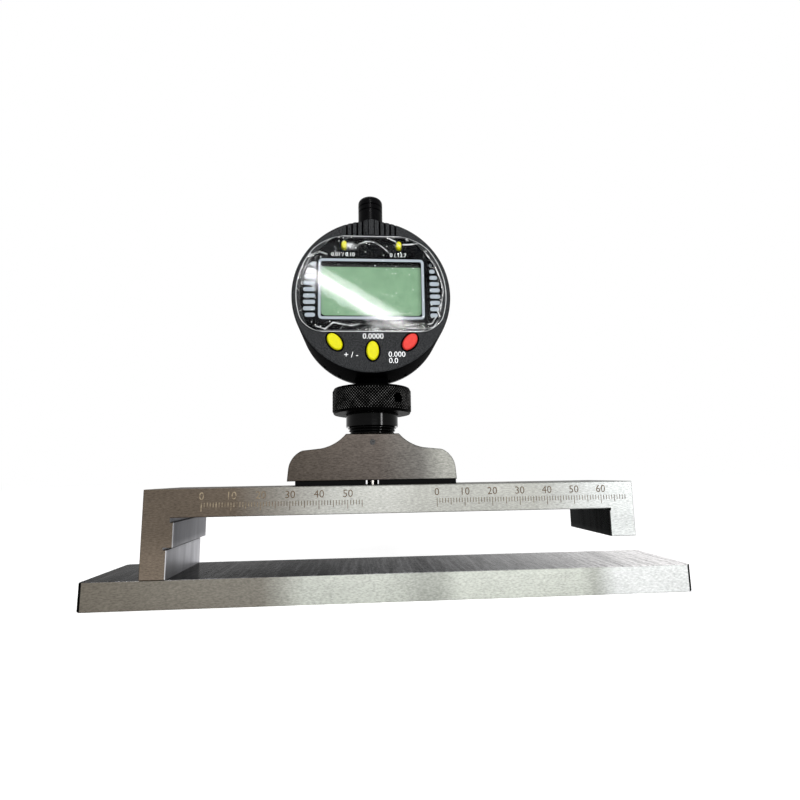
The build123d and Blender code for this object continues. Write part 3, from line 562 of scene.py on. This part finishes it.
# Indicator case: moulded in black plastic with a sparkling eroded grain. Its face is a dark grey, its
# side wall a satin black, and ribs and a boss stand at the top of the face. Two painted dark lines on
# the boss stand for flutes in shade, and a painted shadow runs round each of the three large buttons.
FACE_DARK, FACE_SPARK = (0.010, 0.0105, 0.011), (0.055, 0.057, 0.060)
WALL_DARK, WALL_SPARK = (0.0004, 0.0004, 0.0006), (0.0014, 0.0014, 0.0018)
FACE_ROUGH, WALL_ROUGH, FACE_SKIN, LENS_PROUD = 0.50, 0.34, 0.0004, 0.0001
KEYS = (("button_unit", 38), ("button_preset", 0), ("button_zero", -38))        # and how each leans
# The last is the width of the painted shadow round each large button.
KEY_WIDE, KEY_TALL, KEY_SHADOW = 0.0045, 0.0071, 0.00070
# Where the two painted dark lines on the boss lie, and how wide they are.
FLUTE_SHADE_X, FLUTE_SHADE_W, FLUTE_SHADE_FOOT = 0.00115, 0.00040, 0.0235
case_low, case_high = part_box("case_body")
lens_low, lens_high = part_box("display_lens")
face_x, face_y = (case_low.x + case_high.x) / 2, lens_low.y + LENS_PROUD
face_z = case_high.z - (case_high.x - case_low.x) / 2


def middle_of(name):
    """The middle of a CAD node."""
    low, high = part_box(name)
    return (low + high) / 2


case_plastic, tree, surface = new_material("case_plastic")
x, y, z = split(tree, place_of(tree))
cells = grain(tree, (2600, 2600, 2600), detail=3, roughness=0.65)
spark = between(tree, cells, 0, 1, 0.38, 0.72)
from_middle = maths(tree, "ABSOLUTE", maths(tree, "SUBTRACT", x, face_x))
# Painted shade: two dark lines down the boss, for flutes.
from_flute_shade = maths(tree, "ABSOLUTE", maths(tree, "SUBTRACT", from_middle, FLUTE_SHADE_X))
flute_shade = maths(tree, "LESS_THAN", from_flute_shade, FLUTE_SHADE_W / 2)
flute_shade = maths(tree, "MULTIPLY", flute_shade, maths(tree, "GREATER_THAN", z, face_z + FLUTE_SHADE_FOOT))
on_face = maths(tree, "LESS_THAN", y, face_y + FACE_SKIN)
on_face = maths(tree, "MULTIPLY", on_face, maths(tree, "SUBTRACT", 1.0, flute_shade))
# Painted shadow: a ring of the wall's black round each large button.
for key, lean in KEYS:
    middle = middle_of(key)
    lean_cos, lean_sin = math.cos(math.radians(lean)), math.sin(math.radians(lean))
    over, rise = maths(tree, "SUBTRACT", x, middle.x), maths(tree, "SUBTRACT", z, middle.z)
    wide = maths(tree, "ADD", maths(tree, "MULTIPLY", over, lean_cos),
                 maths(tree, "MULTIPLY", rise, lean_sin))
    tall = maths(tree, "SUBTRACT", maths(tree, "MULTIPLY", rise, lean_cos),
                 maths(tree, "MULTIPLY", over, lean_sin))
    wide = maths(tree, "DIVIDE", wide, KEY_WIDE / 2 + KEY_SHADOW)
    tall = maths(tree, "DIVIDE", tall, KEY_TALL / 2 + KEY_SHADOW)
    outside = maths(tree, "GREATER_THAN", squares(tree, wide, tall), 1.0)
    on_face = maths(tree, "MULTIPLY", on_face, outside)
wall = blend(tree, spark, WALL_DARK, WALL_SPARK)
face = blend(tree, spark, FACE_DARK, FACE_SPARK)
feed(tree, surface, {
    "Base Color": blend(tree, on_face, wall, face),
    "Roughness": between(tree, on_face, WALL_ROUGH, FACE_ROUGH, 0, 1),
    "Specular IOR Level": 0.0001,
    "Normal": bump(tree, cells, 0.00002),
})
dress("case_body", case_plastic)


# Display mask: a thin black sheet behind the lens, printed glossy, with the window cut out.
# It is glued to the back of the lens.
MASK_DARK, MASK_LIGHT = (0.0004, 0.0006, 0.001), (0.0008, 0.0012, 0.002)


def moulded(name, dark, light, rough, shine, cells=1400, depth=0.000006):
    """Plastic or rubber: two tones of an eroded or orange-peel skin, with its cells per metre."""
    material, tree, surface = new_material(name)
    skin = grain(tree, (cells, cells, cells))
    feed(tree, surface, {
        "Base Color": blend(tree, between(tree, skin, 0, 1), dark, light),
        "Roughness": between(tree, skin, *rough),
        "Specular IOR Level": shine,
        "Normal": bump(tree, skin, depth),
    })
    return material


mask_black = moulded("mask_black", MASK_DARK, MASK_LIGHT, rough=(0.15, 0.25), shine=0.01, cells=250)
dress("display_panel", mask_black)


# Prints behind the lens: a silver frame round the window and nine rounded silver bars at each side,
# screen-printed in metallic ink on the back of the clear window.
FRAME_W, FRAME_H, FRAME_LINE, FRAME_CORNER, FRAME_UP = 0.0402, 0.0239, 0.0010, 0.0016, 0.00265
BAR_COUNT, BAR_PITCH, BAR_H, BAR_CORNER, BAR_FIRST = 9, 0.0025, 0.00155, 0.47, 0.0123
LEFT_BAR, RIGHT_BAR = (0.0212, 0.0257), (0.0222, 0.0266)        # from and to, off the face's middle
LENS_EDGE, PRINT_DEPTH, FRAME_ROUND, BAR_ROUND = 0.0004, 0.00003, 6, 5
INK_GREY, INK_LIGHT = (0.25, 0.285, 0.33), (0.31, 0.345, 0.39)
print_y = lens_high.y - PRINT_DEPTH


def rounded(bm, width, tall, corner, centre, steps):
    """A flat rounded rectangle on the back of the lens, facing the front."""
    made = add_panel(bm, width, tall, (centre[0], print_y, centre[1]))
    bmesh.ops.bevel(bm, geom=made, offset=corner, offset_type="OFFSET", segments=steps, profile=0.5,
                    affect="VERTICES", material=-1)
    bm.normal_update()


bm = bmesh.new()
rounded(bm, FRAME_W, FRAME_H, FRAME_CORNER, (face_x, face_z + FRAME_UP), FRAME_ROUND)
inner = bm.faces[:]
bmesh.ops.inset_region(bm, faces=inner, thickness=FRAME_LINE, use_even_offset=True, use_boundary=True)
bmesh.ops.delete(bm, geom=inner, context="FACES_ONLY")
for row in range(BAR_COUNT):
    rise = BAR_FIRST - row * BAR_PITCH
    reach = math.sqrt((lens_high.x - face_x - LENS_EDGE) ** 2 - rise ** 2)
    for side, (start, end) in ((-1, LEFT_BAR), (1, RIGHT_BAR)):
        end = min(end, reach)
        centre = (face_x + side * (start + end) / 2, face_z + rise)
        rounded(bm, end - start, BAR_H, BAR_H * BAR_CORNER, centre, BAR_ROUND)
silver_ink, tree, surface = new_material("silver_ink")
flake = grain(tree, (3000, 3000, 3000), detail=2)
feed(tree, surface, {
    "Base Color": blend(tree, flake, INK_GREY, INK_LIGHT),
    "Roughness": between(tree, flake, 0.35, 0.5),
    "Specular IOR Level": 0.2,
})
piece("silver_prints", bm, silver_ink, "indicator")


# Lens: a clear acrylic window with polished and bevelled edges, let into the face, so that it stands
# a hair proud of it.
LENS_GLOSS, LENS_ROUGH = 0.05, 0.035
CLEAR, CLEAR_IOR = (0.985, 0.99, 0.985), 1.49


def clear_sheet(name, gloss, rough):
    """A clear sheet: see-through, with a gloss that grows at a glancing look."""
    material = bpy.data.materials.new(name)
    material.use_nodes = True
    tree = material.node_tree
    tree.nodes.clear()
    through = node(tree, "ShaderNodeBsdfTransparent", {"Color": CLEAR}).outputs[0]
    shine = node(tree, "ShaderNodeBsdfGlossy", {"Color": (1, 1, 1), "Roughness": rough}).outputs[0]
    glance = node(tree, "ShaderNodeFresnel", {"IOR": CLEAR_IOR}).outputs[0]
    share = maths(tree, "MULTIPLY", glance, gloss)
    sheet = node(tree, "ShaderNodeMixShader", {0: share, 1: through, 2: shine}).outputs[0]
    return material, tree, sheet


lens_clear, tree, sheet = clear_sheet("lens_clear", LENS_GLOSS, LENS_ROUGH)
node(tree, "ShaderNodeOutputMaterial", {"Surface": sheet})
dress("display_lens", lens_clear)


# Display: a liquid crystal glass with a grey-green reflector, blank, clamped behind the mask. A black
# band shows across its top, under the upper edge of the frame: partly the glass's dark border, partly
# a painted shadow.
LCD_GREEN, LCD_PALE, LCD_BORDER_SHADOW = (0.132, 0.243, 0.143), (0.178, 0.305, 0.189), (0.003, 0.004, 0.004)
BORDER_SHADOW_DROP, BORDER_SHADOW_BLUR = 0.0019, 0.0003

lcd_glass, tree, surface = new_material("lcd_glass")
cloud = grain(tree, (300, 300, 300), detail=5)
# The black band at the top: the glass's dark border and a painted shadow under the frame.
border_shadow_z = face_z + FRAME_UP + FRAME_H / 2 - FRAME_LINE - BORDER_SHADOW_DROP
border_shadow = between(tree, split(tree, place_of(tree))[2], 0, 1, border_shadow_z, border_shadow_z + BORDER_SHADOW_BLUR)
green = blend(tree, between(tree, cloud, 0, 1), LCD_GREEN, LCD_PALE)
feed(tree, surface, {
    "Base Color": blend(tree, border_shadow, green, LCD_BORDER_SHADOW),
    "Roughness": between(tree, cloud, 0.35, 0.5),
    "Specular IOR Level": 0.1,
})
dress("lcd_module", lcd_glass)


# Rubber connector strips and the button mat: grey silicone, moulded, pressed between the display,
# the board and the face.
RUBBER_DARK, RUBBER_LIGHT = (0.16, 0.16, 0.17), (0.24, 0.24, 0.25)

silicone = moulded("silicone", RUBBER_DARK, RUBBER_LIGHT, rough=(0.6, 0.8), shine=0.2, cells=900)
for name in ("lcd_connector", "keypad_mat"):
    dress(name, silicone)


# Circuit boards: the main board with its chip and the reading board of the sensor, glass fibre under
# green resist, with faint copper tracks.
RESIST_DARK, RESIST_LIGHT, TRACK_GREEN = (0.012, 0.10, 0.035), (0.014, 0.12, 0.04), (0.03, 0.20, 0.07)
TRACKS_PER_METRE = 180.0

board_green, tree, surface = new_material("board_green")
tracks = node(tree, "ShaderNodeTexBrick", {
    "Vector": place_of(tree), "Scale": TRACKS_PER_METRE,
    "Color1": RESIST_DARK, "Color2": RESIST_LIGHT, "Mortar": TRACK_GREEN,
})
feed(tree, surface, {
    "Base Color": tracks.outputs[0],
    "Roughness": between(tree, grain(tree, (500, 500, 500)), 0.3, 0.45),
})
for name in ("circuit_board", "sensor_board"):
    dress(name, board_green)


# Sensor scale: the moving glass strip on the spindle, with fine dark lines across it, glued to
# its foot.
SCALE_CLEAR, SCALE_LINE, LINES_PER_METRE = (0.55, 0.56, 0.50), (0.05, 0.05, 0.05), 1000.0

scale_glass, tree, surface = new_material("scale_glass")
lines = maths(tree, "MULTIPLY", split(tree, place_of(tree))[2], LINES_PER_METRE)
lines = maths(tree, "GREATER_THAN", maths(tree, "FRACT", lines), 0.5)
feed(tree, surface, {"Base Color": blend(tree, lines, SCALE_CLEAR, SCALE_LINE), "Roughness": 0.2})
dress("scale_strip", scale_glass)


# Stem, spindle, contact point, guide pin and cell: hardened or plated bright steel, turned and
# polished, with fine lines round it.
STEEL_DARK, STEEL_LIGHT = (0.46, 0.44, 0.41), (0.62, 0.60, 0.57)


def bright_metal(name, dark, light, rough, lines=(400, 400, 5000)):
    """Bright turned metal with fine lines round it."""
    material, tree, surface = new_material(name)
    turned = grain(tree, lines, detail=4)
    feed(tree, surface, {
        "Base Color": blend(tree, between(tree, turned, 0, 1), dark, light),
        "Roughness": between(tree, turned, *rough),
        "Metallic": 1.0,
        "Normal": bump(tree, turned, 0.000003),
    })
    return material


bright_steel = bright_metal("bright_steel", STEEL_DARK, STEEL_LIGHT, rough=(0.14, 0.24))
for name in ("stem", "spindle", "contact_point", "guide_pin", "battery_cell"):
    dress(name, bright_steel)


# Return spring: coiled from bright spring wire, between the spindle's collar and the upper bush. It
# stays on the bush.
WIRE_R, WIRE_SIDES, COILS, COIL_STEPS, SPINDLE_TRAVEL = 0.00032, 8, 5, 32, 0.0127
WIRE_DARK, WIRE_LIGHT = (0.40, 0.39, 0.37), (0.58, 0.57, 0.55)
spring_low, spring_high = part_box("return_spring")
spring_x, coil_r = (spring_low.x + spring_high.x) / 2, (spring_high.x - spring_low.x) / 2 - WIRE_R
spring_free = spring_high.z - spring_low.z

climb = (spring_free - 2 * WIRE_R) / (COILS * COIL_STEPS)
bm = bmesh.new()
wire = bmesh.ops.create_circle(bm, segments=WIRE_SIDES, radius=WIRE_R, cap_ends=False)["verts"]
bmesh.ops.rotate(bm, verts=wire, cent=(0, 0, 0), matrix=FACING_FRONT)
bmesh.ops.translate(bm, verts=wire, vec=(spring_x + coil_r, 0, spring_low.z + WIRE_R))
bmesh.ops.spin(bm, geom=bm.verts[:] + bm.edges[:], cent=(spring_x, 0, 0), axis=(0, 0, 1),
               dvec=(0, 0, climb), angle=COILS * 2 * math.pi, steps=COILS * COIL_STEPS)
bmesh.ops.holes_fill(bm, edges=[edge for edge in bm.edges if edge.is_boundary], sides=WIRE_SIDES)
bmesh.ops.recalc_face_normals(bm, faces=bm.faces)
spring_steel = bright_metal("spring_steel", WIRE_DARK, WIRE_LIGHT, rough=(0.18, 0.28),
                            lines=(900, 900, 900))
spring = piece("coil_spring", bm, spring_steel, "indicator")
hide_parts("return_spring")
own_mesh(spring)


# Guide bush, guide rail and battery contact: bronze, turned, machined or stamped, pressed or screwed
# in place.
BRONZE_DARK, BRONZE_LIGHT = (0.40, 0.27, 0.13), (0.58, 0.41, 0.21)

bronze = bright_metal("bronze", BRONZE_DARK, BRONZE_LIGHT, rough=(0.25, 0.38))
for name in ("lower_bush", "guide_rail", "battery_contact"):
    dress(name, bronze)


# Upper bush: turned black plastic, pressed into the case, hidden by the lift cap at rest and shown
# when the cap is pulled up.
BUSH_DARK, BUSH_LIGHT = (0.0006, 0.0006, 0.0006), (0.0015, 0.0015, 0.0015)

dress("upper_bush", moulded("bush_black", BUSH_DARK, BUSH_LIGHT, rough=(0.20, 0.30), shine=0.05))


# Lift cap: turned black plastic with a domed top and two finger grooves, screwed on the spindle and
# pulled to raise it.
CAP_DARK, CAP_LIGHT = (0.0005, 0.0005, 0.0007), (0.0012, 0.0012, 0.0015)

cap_black = moulded("cap_black", CAP_DARK, CAP_LIGHT, rough=(0.20, 0.28), shine=0.035, depth=0.000003)
dress("lift_cap", cap_black)


# Rear cover: moulded like the case, black, with the same fine grain, held by four screws in its
# seats.
COVER_DARK, COVER_LIGHT = (0.004, 0.004, 0.005), (0.014, 0.015, 0.016)

cover_black = moulded("cover_black", COVER_DARK, COVER_LIGHT, rough=(0.42, 0.55), shine=0.1, cells=2600,
                      depth=0.00002)
dress("rear_cover", cover_black)


# Cover screws: four small cross-head screws, blackened, turned into the posts of the case.
# Their heads sit flush in the cover.
screw_black = black_steel("screw_black", STEEL_BLACK, rough=(0.28, 0.40), shine=0.5,
                          scale=(2500, 2500, 2500), depth=0.000006)
dress("rear_cover_screws", screw_black)


# Battery hatch: a round black lid with a coin slot, moulded, smoother than the cover round it. It is
# turned to open.
HATCH_DARK, HATCH_LIGHT = (0.004, 0.004, 0.005), (0.009, 0.009, 0.010)

dress("battery_hatch", moulded("hatch_black", HATCH_DARK, HATCH_LIGHT, rough=(0.28, 0.38), shine=0.3))


# Buttons: three large ovals and two small ones, moulded in satin plastic, yellow but for the red one
# at the right. Each head stands in its hole and a flange keeps it in the case.
YELLOW_DEEP, YELLOW_LIGHT = (0.50, 0.475, 0.001), (0.56, 0.535, 0.002)
RED_DEEP, RED_LIGHT = (0.50, 0.032, 0.024), (0.57, 0.041, 0.032)

yellow = moulded("key_yellow", YELLOW_DEEP, YELLOW_LIGHT, rough=(0.30, 0.42), shine=0.06, cells=700)
red = moulded("key_red", RED_DEEP, RED_LIGHT, rough=(0.30, 0.42), shine=0.06, cells=700)
for name in ("button_unit", "button_preset", "button_tolerance", "button_max_min"):
    dress(name, yellow)
dress("button_zero", red)


# Face marks: plain numbers and signs beside the buttons, printed white on the face and behind the
# lens.
FACE_MARKS = (      # words, how tall, where from the face's middle, and whether behind the lens
    ("0.01 / 0.10", 0.0021, (-0.0108, 0.0163), True),
    ("0 / 12.7", 0.0021, (0.0103, 0.0162), True),
    ("1.00", 0.0020, (0.0004, -0.0138), False),
    ("0.0000", 0.0029, (0.0004, -0.0162), False),
    ("+ / -", 0.0031, (-0.0078, -0.0233), False),
    ("0.000", 0.0029, (0.0092, -0.0231), False),
    ("0.0", 0.0029, (0.0079, -0.0255), False),
)
PRINT_THIN, PRINT_FULL = (0.60, 0.62, 0.64), (0.84, 0.85, 0.86)

bm = bmesh.new()
for words, tall, (along, rise), behind_lens in FACE_MARKS:
    mark_y = print_y if behind_lens else face_y - MARK_LIFT
    add_text(bm, words, tall, (face_x + along, mark_y, face_z + rise))
print_white, tree, surface = new_material("print_white")
thin = grain(tree, (2500, 2500, 2500))
feed(tree, surface, {
    "Base Color": blend(tree, thin, PRINT_THIN, PRINT_FULL),
    "Roughness": between(tree, thin, 0.4, 0.6),
})
piece("face_marks", bm, print_white, "indicator")


# Protective film: the thin clear sheet that still covers the new lens. It has lifted and crinkled
# along its edges and stands up over the small buttons. Painted white highlights lie along its creases
# and its rim, with a painted glare spot beside the left small button.
FILM_COLUMNS, FILM_ROWS, FILM_CORNER = 240, 160, 0.006
FILM_GLOSS, FILM_ROUGH, FILM_WHITE = 0.11, 0.06, (0.80, 0.82, 0.83)
TENT_LIFT, TENT_WIDE = 0.00050, 0.0024
WAVE_LIFT, FLAT_SHARE, EDGE_REACH = 0.00006, 0.10, 0.0022
WAVES, RIPPLES, RIPPLE_SHARE = 150, 420, 0.5        # per metre, and how much the ripples add
CREASE_WIDE, CREASE_LIFT = 0.00018, 0.00008
# A painted glare spot beside the left small button.
GLARE_X, GLARE_Z, GLARE_LONG, GLARE_TALL, GLARE_WHITE = -0.0078, 0.0190, 0.0021, 0.0011, 1.2
DUST_CELLS, DUST_SIZE, DUST_SPARED = 600.0, 0.11, 0.58      # the last is the share without a grain
# Painted highlights along the film's rim and in fine creases near it.
RIM_HIGHLIGHT, RIM_FROM, RIM_TO = 0.60, 0.0001, 0.0004
FINE_CREASES, FINE_CREASE_WIDE = (130, 130, 130), 0.012
CREASES = (     # millimetres from the middle of the face
    ((-26.1, 3.9), (-25.3, 9.2), (-22.7, 15.2), (-19.7, 16.7), (-16.7, 15.6)),
    ((-6.5, 18.4), (-4.6, 19.9), (-2.4, 20.8), (-0.2, 21.0), (2.0, 20.3), (4.2, 18.8), (7.4, 15.9)),
    ((6.6, 22.4), (8.9, 21.2), (11.1, 18.9)),
    ((11.9, 19.7), (15.6, 20.1), (17.9, 20.5)),
    ((20.2, 17.4), (23.9, 12.2), (26.2, 6.2), (27.2, 1.7), (25.8, -6.6)),
    ((-21.2, -12.3), (-17.4, -13.6), (-14.4, -11.1), (-7.7, -12.3), (-4.7, -11.5)),
    ((5.9, -12.3), (12.6, -13.0), (19.4, -13.4), (23.2, -12.8), (24.7, -10.4)),
    ((26.2, -3.4), (24.7, -6.2), (25.6, -8.6)),
    ((24.1, -8.8), (22.7, -11.2), (20.9, -11.7)),
)
film_low, film_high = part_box("protective_film")
film_z, film_half = (film_low.z + film_high.z) / 2, (film_high.z - film_low.z) / 2
film_r = (film_high.x - film_low.x) / 2
tents = [middle_of(name) for name in ("button_tolerance", "button_max_min")]


def crease_distance(x, z):
    """How far a point of the film lies from the nearest of its long creases."""
    nearest = film_r
    for crease in CREASES:
        for start, end in zip(crease, crease[1:]):
            start, end = Vector(start) / 1000, Vector(end) / 1000
            point, run = Vector((x - face_x, z - face_z)) - start, end - start
            share = min(max(point.dot(run) / run.length_squared, 0), 1)
            nearest = min(nearest, (point - share * run).length)
    return nearest


def wave(x, z, per_metre, layer):
    """The height of a wave of the film at a point, around nought."""
    return noise.noise(Vector((x * per_metre, z * per_metre, layer)))


def tent(x, z, top):
    """How far the film stands up at a point, over the top of a small button."""
    return TENT_LIFT * math.exp(-(((x - top.x) ** 2 + (z - top.z) ** 2) / TENT_WIDE ** 2) ** 1.5)


bm = bmesh.new()
bmesh.ops.create_grid(bm, x_segments=FILM_COLUMNS, y_segments=FILM_ROWS, size=1.0)
rim_layer, highlight_layer = bm.verts.layers.float.new("rim"), bm.verts.layers.float.new("crease")
for vertex in bm.verts:
    along, rise = vertex.co.x, vertex.co.y
    z = film_z + rise * film_half
    width = math.sqrt(film_r ** 2 - (z - face_z) ** 2)
    near = film_half - abs(z - film_z)
    if near < FILM_CORNER:
        width -= FILM_CORNER - math.sqrt(FILM_CORNER ** 2 - (FILM_CORNER - near) ** 2)
    x = face_x + along * width
    to_edge = min((1 - abs(along)) * width, near)
    height = abs(wave(x, z, WAVES, 1.0) + RIPPLE_SHARE * wave(x, z, RIPPLES, 2.0))
    lift = WAVE_LIFT * height * (FLAT_SHARE + math.exp(-to_edge / EDGE_REACH))
    lift += sum(tent(x, z, top) for top in tents)
    fold = math.exp(-(crease_distance(x, z) / CREASE_WIDE) ** 2)
    # Painted glare spot beside the left small button, kept with the creases for their highlight.
    glare_spot = ((x - face_x - GLARE_X) / GLARE_LONG) ** 2 + ((z - face_z - GLARE_Z) / GLARE_TALL) ** 2
    vertex.co = (x, film_low.y - lift - CREASE_LIFT * fold, z)
    vertex[rim_layer] = to_edge
    vertex[highlight_layer] = max(fold, GLARE_WHITE * math.exp(-glare_spot ** 1.5))
bmesh.ops.recalc_face_normals(bm, faces=bm.faces)

film_clear, tree, sheet = clear_sheet("film_clear", FILM_GLOSS, FILM_ROUGH)
to_edge = node(tree, "ShaderNodeAttribute", attribute_name="rim").outputs["Fac"]
# Painted highlights: fine white crease lines near the rim, broken up.
crease = maths(tree, "SUBTRACT", grain(tree, FINE_CREASES, detail=1), 0.5)
crease = between(tree, maths(tree, "ABSOLUTE", crease), 1, 0, 0.0, FINE_CREASE_WIDE)
crease = maths(tree, "MULTIPLY", crease, between(tree, to_edge, 0.55, 0.0, 0.0010, 0.0050))
broken = between(tree, grain(tree, (240, 240, 240)), 0, 1, 0.44, 0.56)
crease = maths(tree, "MULTIPLY", crease, broken)
rim_highlight = between(tree, to_edge, RIM_HIGHLIGHT, 0.0, RIM_FROM, RIM_TO)
dots = node(tree, "ShaderNodeTexVoronoi", {"Vector": place_of(tree), "Scale": DUST_CELLS}).outputs
dust = maths(tree, "LESS_THAN", dots["Distance"], DUST_SIZE)
chosen = maths(tree, "GREATER_THAN", split(tree, dots["Color"])[0], DUST_SPARED)
# Painted highlight along the long creases and on the glare spot.
fold = node(tree, "ShaderNodeAttribute", attribute_name="crease").outputs["Fac"]
fold = maths(tree, "MULTIPLY", fold, between(tree, grain(tree, (330, 330, 330)), 0.25, 0.95, 0.4, 0.6))
dust_and_highlights = maths(tree, "MAXIMUM", crease, rim_highlight)
dust_and_highlights = maths(tree, "MAXIMUM", dust_and_highlights, maths(tree, "MULTIPLY", dust, chosen))
dust_and_highlights = maths(tree, "MAXIMUM", dust_and_highlights, fold)
white = node(tree, "ShaderNodeBsdfDiffuse", {"Color": FILM_WHITE}).outputs[0]
film_surface = node(tree, "ShaderNodeMixShader", {0: dust_and_highlights, 1: sheet, 2: white}).outputs[0]
node(tree, "ShaderNodeOutputMaterial", {"Surface": film_surface})
film = piece("clear_film", bm, film_clear, "indicator")
for face in film.data.polygons:
    face.use_smooth = True
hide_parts("protective_film")
